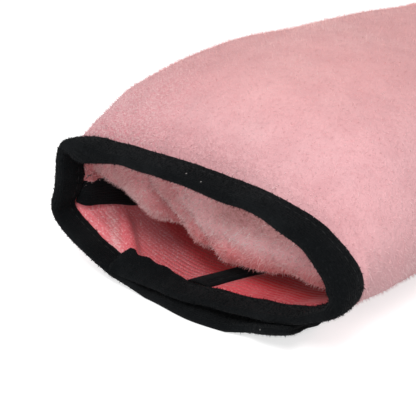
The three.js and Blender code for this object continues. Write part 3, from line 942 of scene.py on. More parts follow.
def spread(tree, value, low, high, to_low=0.0, to_high=1.0):
    """A value's stretch from low to high, eased to a stretch from 0 to 1 or to the two ends given."""
    node = add_node(tree, "ShaderNodeMapRange", interpolation_type="SMOOTHSTEP")
    tree.links.new(value, node.inputs["Value"])
    for name, number in (("From Min", low), ("From Max", high), ("To Min", to_low), ("To Max", to_high)):
        node.inputs[name].default_value = number
    return node.outputs["Result"]


def marked(tree, name):
    """A value from 0 to 1 that a piece's points carry under a name."""
    return add_node(tree, "ShaderNodeAttribute", attribute_name=name).outputs["Fac"]


def mix_colours(tree, factor, a, b, blend="MIX"):
    node = add_node(tree, "ShaderNodeMix", data_type="RGBA", blend_type=blend)
    for socket, value in ((node.inputs[0], factor), (node.inputs[6], a), (node.inputs[7], b)):
        if isinstance(value, bpy.types.NodeSocket):
            tree.links.new(value, socket)
        else:
            socket.default_value = value if isinstance(value, float) else (*value[:3], 1.0)
    return node.outputs[2]


def tinted(tree, factor, colour, tint):
    """A colour multiplied by a tint, as far as the factor goes."""
    return mix_colours(tree, factor, colour, tint, "MULTIPLY")


def new_group(name, inputs, outputs):
    """A shader node group with named inputs and outputs; returns it with its two end nodes."""
    group = bpy.data.node_groups.new(name, "ShaderNodeTree")
    for label, kind, value in inputs:
        socket = group.interface.new_socket(name=label, in_out="INPUT", socket_type=kind)
        if value is not None:
            socket.default_value = value
    for label, kind in outputs:
        group.interface.new_socket(name=label, in_out="OUTPUT", socket_type=kind)
    return group, add_node(group, "NodeGroupInput"), add_node(group, "NodeGroupOutput")


FLOAT = "NodeSocketFloat"
COLOUR = "NodeSocketColor"
VECTOR = "NodeSocketVector"
PATCHES_PER_METRE = 24.0
BRUSH_MARKS_PER_METRE = 120.0
TUFTS_PER_METRE = 620.0
FIBRES_PER_METRE = 2100.0
LINT_CELLS_PER_METRE = 210.0


def pile_group():
    """Colour and height of short pile: patches of brush marks, tufts and single bright or dark fibres."""
    group, start, end = new_group(
        "short pile",
        [("Vector", VECTOR, None), ("Base", COLOUR, None), ("Light", COLOUR, None), ("Dark", COLOUR, None),
         ("Patchiness", FLOAT, 0.5), ("Speckle", FLOAT, 0.3)],
        [("Colour", COLOUR), ("Height", FLOAT)],
    )
    given = start.outputs
    patches = noise_value(group, given["Vector"], PATCHES_PER_METRE, 3.0, 0.55)
    brush_marks_and_painted_highlight = noise_value(group, given["Vector"], BRUSH_MARKS_PER_METRE, 3.0, 0.6)
    tufts = noise_value(group, given["Vector"], TUFTS_PER_METRE, 3.0, 0.65)
    fibres = noise_value(group, given["Vector"], FIBRES_PER_METRE, 2.0, 0.7)
    toward_light = share_of(group, spread(group, patches, 0.42, 0.68), given["Patchiness"])
    colour = mix_colours(group, toward_light, given["Base"], given["Light"])
    shade = share_of(group, spread(group, brush_marks_and_painted_highlight, 0.62, 0.34), given["Patchiness"])
    colour = mix_colours(group, share_of(group, shade, 0.35), colour, given["Dark"])
    deep = share_of(group, spread(group, tufts, 0.5, 0.3), given["Speckle"])
    colour = mix_colours(group, deep, colour, given["Dark"])
    bright = share_of(group, spread(group, fibres, 0.54, 0.72), given["Speckle"])
    colour = mix_colours(group, bright, colour, given["Light"])
    height = calculate(group, "MULTIPLY_ADD", tufts, 0.7, share_of(group, fibres, 0.45))
    feed(group, end, Colour=colour, Height=height)
    return group


def rib_group():
    """Mask and height of fine knitted ribs that run along u, with stitches along each rib."""
    group, start, end = new_group(
        "knitted ribs",
        [("Vector", VECTOR, None), ("Pitch", FLOAT, 0.0013), ("Stitch", FLOAT, 0.0009),
         ("Wander", FLOAT, 0.3)],
        [("Groove", FLOAT), ("Height", FLOAT)],
    )
    given = start.outputs

    def rounded(turns):
        """One hump from 0 to 1 and back for each turn."""
        angle = calculate(group, "MULTIPLY", turns, math.pi)
        return calculate(group, "ABSOLUTE", calculate(group, "SINE", angle))

    place = split(group, given["Vector"])
    wander = noise_value(group, given["Vector"], 260.0, 2.0, 0.5)
    wander = share_of(group, calculate(group, "SUBTRACT", wander, 0.5), given["Wander"])
    across = calculate(group, "DIVIDE", place["Y"], given["Pitch"])
    ridge = rounded(calculate(group, "ADD", across, wander))
    loops = rounded(calculate(group, "DIVIDE", place["X"], given["Stitch"]))
    height = calculate(group, "MULTIPLY_ADD", loops, 0.25, ridge)
    groove = spread(group, ridge, 0.62, 0.08)
    feed(group, end, Groove=groove, Height=height)
    return group


def lint_group():
    """Mask of tiny stray specks, each well under a millimetre."""
    inputs = [("Vector", VECTOR, None), ("Amount", FLOAT, 0.5)]
    group, start, end = new_group("lint", inputs, [("Mask", FLOAT)])
    cells = add_node(group, "ShaderNodeTexVoronoi", feature="F1")
    feed(group, cells, Vector=start.outputs["Vector"], Scale=LINT_CELLS_PER_METRE)
    speck = spread(group, cells.outputs["Distance"], 0.075, 0.03)
    chosen = noise_value(group, start.outputs["Vector"], 70.0, 0.0, 0.5)
    mask = share_of(group, speck, spread(group, chosen, 0.66, 0.7))
    feed(group, end, Mask=share_of(group, mask, start.outputs["Amount"]))
    return group


PILE = pile_group()
RIBS = rib_group()
LINT = lint_group()


def new_material(name, colour):
    material = bpy.data.materials.new(name)
    material.use_nodes = True
    material.diffuse_color = (*colour, 1.0)
    tree = material.node_tree
    shader = tree.nodes["Principled BSDF"]
    feed(tree, shader, Base_Color=(*colour, 1.0), Roughness=0.92, Specular_IOR_Level=0.25)
    return material, tree, shader


def use_group(tree, group, **values):
    node = add_node(tree, "ShaderNodeGroup", node_tree=group)
    feed(tree, node, **values)
    return node


def object_place(tree):
    return add_node(tree, "ShaderNodeTexCoord").outputs["Object"]


def bump(tree, shader, height, distance):
    node = add_node(tree, "ShaderNodeBump")
    feed(tree, node, Height=height, Distance=distance, Strength=1.0)
    tree.links.new(node.outputs["Normal"], shader.inputs["Normal"])


TOP_TINT = (1.0, 0.86, 0.82)
# Painted red bounce light from the knit, low down on the panel.
RED_BOUNCE_TINT = (1.0, 0.42, 0.42)
# Painted shade in the panel's creases.
CREASE_SHADE_TINT = (0.5, 0.3, 0.32)
# Painted shade beside the mouths' tapes, which also darkens specks where the pile is ruffled.
SHADE_AND_GRAIN_TINT = (0.78, 0.7, 0.71)


def plush_material(name, base, light, dark, patchiness, speckle, sheen, sheen_tint, red_bounce_share=0.0,
                   shade_and_grain_tint=SHADE_AND_GRAIN_TINT):
    """Short pile, deeper in colour on top of the sleeve, with painted shade in creases and where marked
    (broken up by a mottled grain), a pale painted highlight where marked and, if asked, painted red bounce
    light low down.

    Where it is ruffled, red shows between pale tufts.
    """
    material, tree, shader = new_material(name, base)
    place = object_place(tree)
    pile = use_group(tree, PILE, Vector=place, Base=(*base, 1), Light=(*light, 1),
                     Dark=(*dark, 1), Patchiness=patchiness, Speckle=speckle)
    height = split(tree, place)["Z"]
    on_top = share_of(tree, spread(tree, height, 0.05, 0.078), 0.8)
    colour = tinted(tree, on_top, pile.outputs["Colour"], TOP_TINT)
    # Painted shade: darker in creases.
    colour = tinted(tree, share_of(tree, marked(tree, "painted_crease_shade"), 0.75), colour, CREASE_SHADE_TINT)
    # Painted highlight: paler where marked.
    colour = mix_colours(tree, share_of(tree, marked(tree, "brush_marks_and_painted_highlight"), 0.6), colour, light)
    # Painted red bounce light: the colour is made redder low down.
    red_bounce_mask = share_of(tree, spread(tree, height, 0.025, 0.016), red_bounce_share)
    colour = tinted(tree, red_bounce_mask, colour, RED_BOUNCE_TINT)
    # Painted shade where marked, broken up by a mottled grain.
    mottled = spread(tree, noise_value(tree, place, 1200.0, 3.0, 0.7), 0.38, 0.62, 0.4, 1.0)
    colour = tinted(tree, share_of(tree, marked(tree, "painted_shade_and_grain"), mottled), colour, shade_and_grain_tint)
    ruffled = marked(tree, "ruffled")
    tufts = noise_value(tree, place, 1500.0, 3.0, 0.75)
    between = share_of(tree, spread(tree, tufts, 0.5, 0.4), ruffled)
    colour = mix_colours(tree, between, colour, PLUSH_BETWEEN_TUFTS)
    tips = share_of(tree, spread(tree, tufts, 0.52, 0.66), ruffled)
    colour = mix_colours(tree, tips, colour, PLUSH_TUFT_TIPS)
    feed(tree, shader, Base_Color=colour, Sheen_Weight=sheen, Sheen_Roughness=0.55,
         Sheen_Tint=(*sheen_tint, 1), Roughness=0.96, Specular_IOR_Level=0.1)
    bump(tree, shader, pile.outputs["Height"], 0.0007)
    return material


# Painted shade deeper in the tunnel, under the panel.
KNIT_DEEP_SHADE_TINT = (0.8, 0.11, 0.13)
# Painted shade in the fold of the knit.
KNIT_FOLD_SHADE_TINT = (0.85, 0.5, 0.54)


def knit_material():
    """Ribbed back of the plush: red, paler on the left, with painted shade towards the right wall, grooves,
    stray fluff and a worn streak, and painted shade in its fold and further into the tunnel.
    """
    material, tree, shader = new_material("ribbed_back", KNIT_COLOUR)
    cloth = add_node(tree, "ShaderNodeUVMap", uv_map="cloth").outputs["UV"]
    ribs = use_group(tree, RIBS, Vector=cloth, Pitch=0.002, Stitch=0.0011, Wander=0.5)
    place = object_place(tree)
    across = split(tree, place)["X"]
    to_right = spread(tree, across, -0.015, 0.03)
    to_left = spread(tree, across, -0.01, -0.045)
    patches = noise_value(tree, place, 45.0, 3.0, 0.6)
    fuzz = noise_value(tree, place, 1400.0, 3.0, 0.7)
    colour = mix_colours(tree, to_left, KNIT_COLOUR, KNIT_PALE)
    # Painted shade: darker, deeper red towards the right wall.
    colour = mix_colours(tree, to_right, colour, KNIT_RIGHT_SHADE)
    patchy = share_of(tree, spread(tree, patches, 0.4, 0.66), spread(tree, to_right, 0, 1, 0.5, 0.25))
    colour = mix_colours(tree, patchy, colour, KNIT_PALE)
    depth = share_of(tree, ribs.outputs["Groove"], spread(tree, to_left, 0, 1, 0.75, 0.25))
    colour = mix_colours(tree, depth, colour, KNIT_DEEP)
    stray = share_of(tree, spread(tree, fuzz, 0.52, 0.66), spread(tree, to_right, 0, 1, 0.7, 0.22))
    colour = mix_colours(tree, stray, colour, KNIT_FLUFF)
    # Painted shade: deeper red further into the tunnel.
    colour = tinted(tree, share_of(tree, marked(tree, "painted_shade_further_in"), 0.85), colour, KNIT_DEEP_SHADE_TINT)
    # Painted shade: deeper red along the fold.
    colour = tinted(tree, share_of(tree, marked(tree, "painted_crease_shade"), 0.7), colour, KNIT_FOLD_SHADE_TINT)
    worn = share_of(tree, marked(tree, "worn"), spread(tree, fuzz, 0.42, 0.6, 0.15, 0.8))
    colour = mix_colours(tree, worn, colour, KNIT_FLUFF)
    feed(tree, shader, Base_Color=colour, Sheen_Weight=0.2, Sheen_Roughness=0.4, Roughness=0.9)
    ribbed = share_of(tree, ribs.outputs["Height"], spread(tree, to_left, 0, 1, 1.0, 0.35))
    height = calculate(tree, "MULTIPLY_ADD", fuzz, 0.5, ribbed)
    bump(tree, shader, height, 0.0002)
    return material


def tape_material():
    """Matt black knitted tape, slightly fuzzy, with a few specks of lint."""
    material, tree, shader = new_material("binding_tape", TAPE_COLOUR)
    tape = add_node(tree, "ShaderNodeUVMap", uv_map="tape").outputs["UV"]
    ribs = use_group(tree, RIBS, Vector=tape, Pitch=0.0008, Stitch=0.0009, Wander=2.0)
    place = object_place(tree)
    fuzz = noise_value(tree, place, 1500.0, 3.0, 0.7)
    worn = noise_value(tree, place, 60.0, 3.0, 0.6)
    colour = mix_colours(tree, spread(tree, worn, 0.4, 0.7), TAPE_DARK, TAPE_WORN)
    bright = share_of(tree, spread(tree, fuzz, 0.54, 0.75), 0.5)
    colour = mix_colours(tree, bright, colour, TAPE_FLUFF)
    lint = use_group(tree, LINT, Vector=place, Amount=0.75)
    colour = mix_colours(tree, lint.outputs["Mask"], colour, LINT_COLOUR)
    feed(tree, shader, Base_Color=colour, Sheen_Weight=0.03, Sheen_Roughness=0.4, Roughness=0.97,
         Specular_IOR_Level=0.05)
    height = calculate(tree, "MULTIPLY_ADD", fuzz, 0.8, share_of(tree, ribs.outputs["Height"], 0.35))
    bump(tree, shader, height, 0.00035)
    return material


def thread_material(name, colour):
    """Sewing thread with fine lighter flecks and a slightly uneven surface."""
    material, tree, shader = new_material(name, colour)
    flecks = noise_value(tree, object_place(tree), 2600.0, 1.0, 0.5)
    light = tuple(min(1, c * 1.8 + 0.01) for c in colour)
    flecked = mix_colours(tree, spread(tree, flecks, 0.4, 0.65), colour, light)
    feed(tree, shader, Base_Color=flecked, Roughness=0.85)
    bump(tree, shader, flecks, 0.0002)
    return material


def filling_material():
    """Loose white fibre, with soft clumps and hollows."""
    material, tree, shader = new_material("loose_fibre", FIBRE_COLOUR)
    place = object_place(tree)
    clumps = noise_value(tree, place, 90.0, 4.0, 0.65)
    strands = noise_value(tree, place, 1100.0, 3.0, 0.7)
    colour = mix_colours(tree, spread(tree, clumps, 0.38, 0.64), FIBRE_HOLLOW_COLOUR, FIBRE_COLOUR)
    feed(tree, shader, Base_Color=colour, Roughness=1.0)
    bump(tree, shader, calculate(tree, "ADD", clumps, share_of(tree, strands, 0.3)), 0.002)
    return material


def fastener_material():
    """Fine even weave of the fastening strips, also used for their hooks and loops."""
    material, tree, shader = new_material("fastener_weave", FASTENER_COLOUR)
    ribs = use_group(tree, RIBS, Vector=object_place(tree), Pitch=0.0007, Stitch=0.0007, Wander=0.1)
    colour = mix_colours(tree, ribs.outputs["Groove"], FASTENER_LIGHT, FASTENER_COLOUR)
    feed(tree, shader, Base_Color=colour, Roughness=0.8)
    bump(tree, shader, ribs.outputs["Height"], 0.0002)
    return material


# Geometry Nodes


def new_tree(name, inputs):
    """A geometry tree with named inputs; returns it with its two end nodes."""
    tree = bpy.data.node_groups.new(name, "GeometryNodeTree")
    tree.interface.new_socket(name="Geometry", in_out="INPUT", socket_type="NodeSocketGeometry")
    for label, kind, value in inputs:
        socket = tree.interface.new_socket(name=label, in_out="INPUT", socket_type=kind)
        if value is not None:
            socket.default_value = value
    tree.interface.new_socket(name="Geometry", in_out="OUTPUT", socket_type="NodeSocketGeometry")
    return tree, add_node(tree, "NodeGroupInput"), add_node(tree, "NodeGroupOutput")


def close_tree(tree, instances, material, end):
    """Ends a tree in real faces with their material."""
    realize = add_node(tree, "GeometryNodeRealizeInstances")
    tree.links.new(instances, realize.inputs["Geometry"])
    paint = add_node(tree, "GeometryNodeSetMaterial")
    tree.links.new(realize.outputs["Geometry"], paint.inputs["Geometry"])
    tree.links.new(material, paint.inputs["Material"])
    tree.links.new(paint.outputs["Geometry"], end.inputs["Geometry"])


def random_value(tree, kind, low, high, seed):
    node = add_node(tree, "FunctionNodeRandomValue", data_type=kind)
    sockets = {"FLOAT_VECTOR": (0, 1), "FLOAT": (2, 3)}[kind]
    for index, value in zip(sockets, (low, high)):
        if isinstance(value, bpy.types.NodeSocket):
            tree.links.new(value, node.inputs[index])
        else:
            node.inputs[index].default_value = value
    tree.links.new(seed, node.inputs["Seed"])
    return node.outputs[0 if kind == "FLOAT_VECTOR" else 1]


def vector_math(tree, operation, a, b=None, scale=None):
    node = add_node(tree, "ShaderNodeVectorMath", operation=operation)
    for socket, value in ((node.inputs[0], a), (node.inputs[1], b)):
        if isinstance(value, bpy.types.NodeSocket):
            tree.links.new(value, socket)
        elif value is not None:
            socket.default_value = value
    if scale is not None:
        tree.links.new(scale, node.inputs["Scale"])
    return node.outputs[0]


def fibre_tree():
    """Short tapered fibres that stand on the faces of a surface and lean along the nap given to them."""
    tree, start, end = new_tree("standing fibres", [
        ("Density", "NodeSocketFloat", 1e6), ("Length", "NodeSocketFloat", 0.0016),
        ("Radius", "NodeSocketFloat", 0.0001), ("Brushed", "NodeSocketVector", (0, 0, 0)),
        ("Spread", "NodeSocketFloat", 0.6), ("Seed", "NodeSocketInt", 0),
        ("Material", "NodeSocketMaterial", None),
    ])
    given = start.outputs
    cover = add_node(tree, "GeometryNodeInputNamedAttribute", data_type="FLOAT")
    cover.inputs["Name"].default_value = "pile"
    density = calculate(tree, "MULTIPLY", cover.outputs["Attribute"], given["Density"])
    points = add_node(tree, "GeometryNodeDistributePointsOnFaces", distribute_method="RANDOM")
    tree.links.new(given["Geometry"], points.inputs["Mesh"])
    tree.links.new(density, points.inputs["Density"])
    tree.links.new(given["Seed"], points.inputs["Seed"])
    stray = random_value(tree, "FLOAT_VECTOR", (-1, -1, -1), (1, 1, 1), given["Seed"])
    lean = vector_math(tree, "SCALE", stray, scale=given["Spread"])
    lean = vector_math(tree, "ADD", lean, given["Brushed"])
    direction = vector_math(tree, "ADD", points.outputs["Normal"], lean)
    turn = add_node(tree, "FunctionNodeAlignRotationToVector", axis="Z")
    tree.links.new(direction, turn.inputs["Vector"])
    fibre = add_node(tree, "GeometryNodeMeshCone", fill_type="NGON")
    feed(tree, fibre, Vertices=3, Side_Segments=1, Radius_Top=0.0,
         Radius_Bottom=given["Radius"], Depth=given["Length"])
    place = add_node(tree, "GeometryNodeInstanceOnPoints")
    size = random_value(tree, "FLOAT", 0.55, 1.25, given["Seed"])
    feed(tree, place, Points=points.outputs["Points"], Instance=fibre.outputs["Mesh"],
         Rotation=turn.outputs["Rotation"], Scale=size)
    close_tree(tree, place.outputs["Instances"], given["Material"], end)
    return tree


def thread_tree():
    """Sewn stitches along a line: slim rounded lengths of thread with a small gap between them."""
    tree, start, end = new_tree("run of stitches", [
        ("Spacing", "NodeSocketFloat", 0.0032), ("Length", "NodeSocketFloat", 0.0025),
        ("Radius", "NodeSocketFloat", 0.0002), ("Material", "NodeSocketMaterial", None),
    ])
    given = start.outputs
    line = add_node(tree, "GeometryNodeMeshToCurve")
    tree.links.new(given["Geometry"], line.inputs["Mesh"])
    points = add_node(tree, "GeometryNodeCurveToPoints", mode="LENGTH")
    feed(tree, points, Curve=line.outputs["Curve"], Length=given["Spacing"])
    turn = add_node(tree, "FunctionNodeAlignRotationToVector", axis="Z")
    tree.links.new(points.outputs["Tangent"], turn.inputs["Vector"])
    ball = add_node(tree, "GeometryNodeMeshUVSphere")
    feed(tree, ball, Segments=6, Rings=5, Radius=1.0)
    size = add_node(tree, "ShaderNodeCombineXYZ")
    tree.links.new(given["Radius"], size.inputs["X"])
    tree.links.new(given["Radius"], size.inputs["Y"])
    tree.links.new(calculate(tree, "MULTIPLY", given["Length"], 0.5), size.inputs["Z"])
    place = add_node(tree, "GeometryNodeInstanceOnPoints")
    feed(tree, place, Points=points.outputs["Points"], Instance=ball.outputs["Mesh"],
         Rotation=turn.outputs["Rotation"], Scale=size.outputs["Vector"])
    close_tree(tree, place.outputs["Instances"], given["Material"], end)
    return tree


def hook_tree():
    """Rows of small bent hooks or loops on a flat strip, each a short arc of fine wire."""
    tree, start, end = new_tree("hooks and loops", [
        ("Height", "NodeSocketFloat", 0.0006), ("Wire", "NodeSocketFloat", 0.0001),
        ("Arc", "NodeSocketFloat", 4.2), ("Disorder", "NodeSocketFloat", 0.3),
        ("Seed", "NodeSocketInt", 0), ("Material", "NodeSocketMaterial", None),
    ])
    given = start.outputs
    arc = add_node(tree, "GeometryNodeCurveArc")
    half = calculate(tree, "MULTIPLY", given["Height"], 0.5)
    feed(tree, arc, Resolution=7, Radius=half, Start_Angle=-math.pi / 2, Sweep_Angle=given["Arc"])
    wire = add_node(tree, "GeometryNodeCurvePrimitiveCircle")
    feed(tree, wire, Resolution=3, Radius=given["Wire"])
    hook = add_node(tree, "GeometryNodeCurveToMesh")
    feed(tree, hook, Curve=arc.outputs["Curve"], Profile_Curve=wire.outputs["Curve"], Fill_Caps=True)
    upright = add_node(tree, "GeometryNodeTransform")
    feed(tree, upright, Geometry=hook.outputs["Mesh"], Rotation=(math.pi / 2, 0, 0))
    lifted = add_node(tree, "ShaderNodeCombineXYZ")
    tree.links.new(half, lifted.inputs["Z"])
    tree.links.new(lifted.outputs["Vector"], upright.inputs["Translation"])
    points = add_node(tree, "GeometryNodeMeshToPoints", mode="FACES")
    low = vector_math(tree, "SCALE", (-0.3, -0.3, -2.0), scale=given["Disorder"])
    high = vector_math(tree, "SCALE", (0.3, 0.3, 2.0), scale=given["Disorder"])
    turn = random_value(tree, "FLOAT_VECTOR", low, high, given["Seed"])
    normal = add_node(tree, "GeometryNodeInputNormal")
    face_up = add_node(tree, "FunctionNodeAlignRotationToVector", axis="Z")
    tree.links.new(normal.outputs["Normal"], face_up.inputs["Vector"])
    kept = add_node(tree, "GeometryNodeCaptureAttribute", domain="FACE")
    kept.capture_items.new("ROTATION", "Turn")
    tree.links.new(given["Geometry"], kept.inputs["Geometry"])
    tree.links.new(face_up.outputs["Rotation"], kept.inputs["Turn"])
    tree.links.new(kept.outputs["Geometry"], points.inputs["Mesh"])
    spin = add_node(tree, "FunctionNodeRotateRotation", rotation_space="LOCAL")
    tree.links.new(kept.outputs["Turn"], spin.inputs["Rotation"])
    tree.links.new(turn, spin.inputs["Rotate By"])
    place = add_node(tree, "GeometryNodeInstanceOnPoints")
    feed(tree, place, Points=points.outputs["Points"], Instance=upright.outputs["Geometry"],
         Rotation=spin.outputs["Rotation"])
    close_tree(tree, place.outputs["Instances"], given["Material"], end)
    return tree


def grown(name, host, tree, **values):
    """A plain mesh made by a tree on a host object, which is used up."""
    modifier = host.modifiers.new("growth", "NODES")
    modifier.node_group = tree
    for item in tree.interface.items_tree:
        if item.item_type == "SOCKET" and item.in_out == "INPUT" and item.name in values:
            modifier[item.identifier] = values[item.name]
    host.update_tag()
    graph = bpy.context.evaluated_depsgraph_get()
    mesh = bpy.data.meshes.new_from_object(host.evaluated_get(graph))
    mesh.name = name
    bpy.data.objects.remove(host)
    piece = bpy.data.objects.new(name, mesh)
    bpy.context.scene.collection.objects.link(piece)
    return piece


def emitter(grid, pile, flip=False):
    """An open surface for fibres to stand on, with a pile attribute that says where they do."""
    rows, columns = grid.shape[:2]
    host = new_piece("emitter", grid.reshape(-1, 3), grid_faces(rows, columns, 0, flip), None)
    layer = host.data.attributes.new("pile", "FLOAT", "POINT")
    layer.data.foreach_set("value", np.ascontiguousarray(pile, dtype=np.float32).ravel())
    return host


def line_host(points):
    """An open line of edges for stitches to follow."""
    mesh = bpy.data.meshes.new("line")
    edges = [(i, i + 1) for i in range(len(points) - 1)]
    mesh.from_pydata((np.asarray(points) * MM).tolist(), edges, [])
    host = bpy.data.objects.new("line", mesh)
    bpy.context.scene.collection.objects.link(host)
    return host


# Materials of this object

PLUSH = plush_material(
    "cover_plush", PLUSH_COLOUR, PLUSH_LIGHT, PLUSH_DARK, patchiness=0.55, speckle=0.25,
    sheen=0.3, sheen_tint=(1, 0.88, 0.9),
)
# The panel's plush, painted darker and redder for the shade and red bounce light under the stuffing.
PLUSH_IN_PANEL_SHADE = plush_material(
    "panel_plush", PANEL_IN_SHADE_COLOUR, PANEL_IN_SHADE_LIGHT, PANEL_IN_SHADE_DARK, patchiness=0.9, speckle=0.6,
    sheen=0.3, sheen_tint=(1, 0.9, 0.9), red_bounce_share=0.8, shade_and_grain_tint=PANEL_LIP_SHADOW_TINT,
)
PLUSH_FIBRE = plush_material(
    "cover_fibres", PLUSH_FIBRE_COLOUR, PLUSH_FIBRE_LIGHT, PLUSH_COLOUR, patchiness=0.6, speckle=0.3,
    sheen=0.5, sheen_tint=(1, 0.93, 0.93),
)
# The panel's fibres also take painted red bounce light low down.
PANEL_FIBRE = plush_material(
    "panel_fibres", PANEL_FIBRE_COLOUR, PANEL_FIBRE_LIGHT, PANEL_IN_SHADE_COLOUR, patchiness=0.8, speckle=0.4,
    sheen=0.4, sheen_tint=(1, 0.95, 0.95), red_bounce_share=0.5,
)
KNIT = knit_material()
TAPE_CLOTH = tape_material()
BLACK_THREAD = thread_material("black_thread", BLACK_THREAD_COLOUR)
PINK_THREAD = thread_material("pink_thread", PINK_THREAD_COLOUR)
FILLING = filling_material()
FASTENER = fastener_material()
FIBRE_TREE = fibre_tree()
THREAD_TREE = thread_tree()
HOOK_TREE = hook_tree()


def settle(piece, slot, *nodes):
    """Attaches a piece to the root body and hides the imported parts it replaces."""
    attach(piece, "root")
    if nodes:
        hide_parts(*nodes)


# Cover, panel and filling


def mark(piece, name, outer, inner):
    """Gives a shell's points a value that its materials read."""
    layer = piece.data.attributes.new(name, "FLOAT", "POINT")
    layer.data.foreach_set("value", np.concatenate([outer.ravel(), inner.ravel()]).astype(np.float32))


RUFFLED = (1 - smoothstep(COVER[..., 0], -42, 0)) * (1 - smoothstep(NEAR, 25, 80))


def make_cover():
    """The cover's cloth: outside, pressed and ruffled, with painted shade beside the mouths' tapes; inside,
    worn, with painted shade in its fold and further into the tunnel.
    """
    cover = shell("cover_cloth", COVER_OUTSIDE, COVER_INSIDE, PLUSH)
    set_inner_material(cover, KNIT, COVER)
    lay_cloth_map(cover, COVER)
    # Painted shade beside the mouths' tapes, where the pile is pressed, weaker to the right; dark specks
    # where the pile is ruffled.
    painted_shade_and_grain = 1 - smoothstep(NEAR - TAPE_EXTRA, TAPE_WIDTH + 1, TAPE_WIDTH + 9)
    painted_shade_and_grain = np.maximum(painted_shade_and_grain * (1 - 0.6 * smoothstep(COVER[..., 0], 5, 35)), 0.4 * RUFFLED)
    from_fold = COVER[..., 0] - FLAP_FOLD_START + FLAP_FOLD_SLANT * NEAR
    worn = hump(from_fold, -9, 2.4) * (1 - smoothstep(NEAR, 18, 34)) * ON_OUTER_FLAP
    # Painted shade along the fold, inside the cover.
    painted_crease_shade = hump(from_fold, 1, 3.2) * (1 - smoothstep(NEAR, 20, 36)) * ON_OUTER_FLAP
    # Painted shade further into the tunnel.
    painted_shade_further_in = smoothstep(NEAR + 18 * smoothstep(COVER[..., 0], -45, 15), 34, 41)
    none = np.zeros(COVER.shape[:2])
    mark(cover, "painted_shade_and_grain", painted_shade_and_grain, none)
    mark(cover, "ruffled", 0.75 * RUFFLED, none)
    mark(cover, "worn", none, worn)
    mark(cover, "painted_crease_shade", none, painted_crease_shade)
    mark(cover, "painted_shade_further_in", none, painted_shade_further_in)
    settle(cover, "cover_plush", "outer_cover")


AT_MOUTHS = 1 - smoothstep(NEAR, 30, 50)
# Painted shadow of the top lip on the panel's upper right.
PANEL_UNDER_LIP_SHADOW = smoothstep(PANEL[..., 2], 26.5, 32.5) * smoothstep(PANEL[..., 0], -4, 12) * AT_MOUTHS
# Painted highlight: a pale band along the main lobe, below the lip's shadow.
PANEL_PAINTED_HIGHLIGHT = hump(PANEL[..., 2] + 0.16 * PANEL[..., 0], 28, 4.2)
PANEL_PAINTED_HIGHLIGHT = PANEL_PAINTED_HIGHLIGHT * smoothstep(PANEL[..., 0], -14, 2) * AT_MOUTHS


def make_panel():
    """The inner panel's cloth, with a painted shadow under the lip, painted shade in the crease between its
    lobes and a pale painted highlight below.
    """
    panel = shell("panel_cloth", PANEL_TOP, PANEL_UNDER, PLUSH_IN_PANEL_SHADE)
    lay_cloth_map(panel, PANEL)
    # Painted shadow under the lip.
    mark(panel, "painted_shade_and_grain", PANEL_UNDER_LIP_SHADOW, PANEL_UNDER_LIP_SHADOW)
    # Painted shade in the crease between the lobes.
    mark(panel, "painted_crease_shade", CREASE_DEPTH, CREASE_DEPTH)
    # Painted highlight along the main lobe.
    mark(panel, "brush_marks_and_painted_highlight", PANEL_PAINTED_HIGHLIGHT, PANEL_PAINTED_HIGHLIGHT)
    settle(panel, "panel_plush", "inner_panel")


FILLING_CLEARANCE = 0.9


def make_filling():
    """Fibre that fills the space between the cover and the panel, a little clear of both."""
    rows = np.nonzero(NEAR[:, 0] > PANEL_START + 2.5)[0][::2]
    free = np.arange(PANEL_WALL_COLUMNS, PANEL_COLUMNS - PANEL_WALL_COLUMNS)[::2]
    lofted = field(COVER, 11, 11) * 0.5
    upper = COVER_INSIDE - COVER_NORMALS * (FILLING_CLEARANCE + lofted)[..., None]
    lower = PANEL_TOP + PANEL_NORMALS * FILLING_CLEARANCE
    upper = upper[np.ix_(rows, RIGHT_COLUMN + free)]
    lower = lower[np.ix_(rows, free)]
    filling = shell("filling_fibre", upper, lower, FILLING)
    settle(filling, "filling_fibre", "filling")


# Bindings and their stitching

THREAD_LEVEL = 0.25
END_STITCH_GAP = 6


def stitches(name, rings, rows):
    """Two runs of black thread along a tape, one on each face, near its edges on the cloth."""
    half = rings.shape[1] // 2
    runs = rings[rows, STITCH_STEP], rings[rows, half - 1 - STITCH_STEP]
    lines = [
        grown(f"{name}_{k}", line_host(stand_on_floor(run.copy(), THREAD_LEVEL)), THREAD_TREE,
              Spacing=0.0032, Length=0.0026, Radius=0.00018, Material=BLACK_THREAD)
        for k, run in enumerate(runs)
    ]
    settle(join(name, lines), "binding_tape")


def join(name, pieces):
    """One mesh piece from several plain ones with the same material."""
    with bpy.context.temp_override(active_object=pieces[0], selected_editable_objects=pieces):
        bpy.ops.object.join()
    pieces[0].name = name
    pieces[0].data.name = name
    return pieces[0]


LONG_TAPE_START = TAPE_WIDTH + 0.4
PANEL_TAPE_ON_CLOTH = 13.0


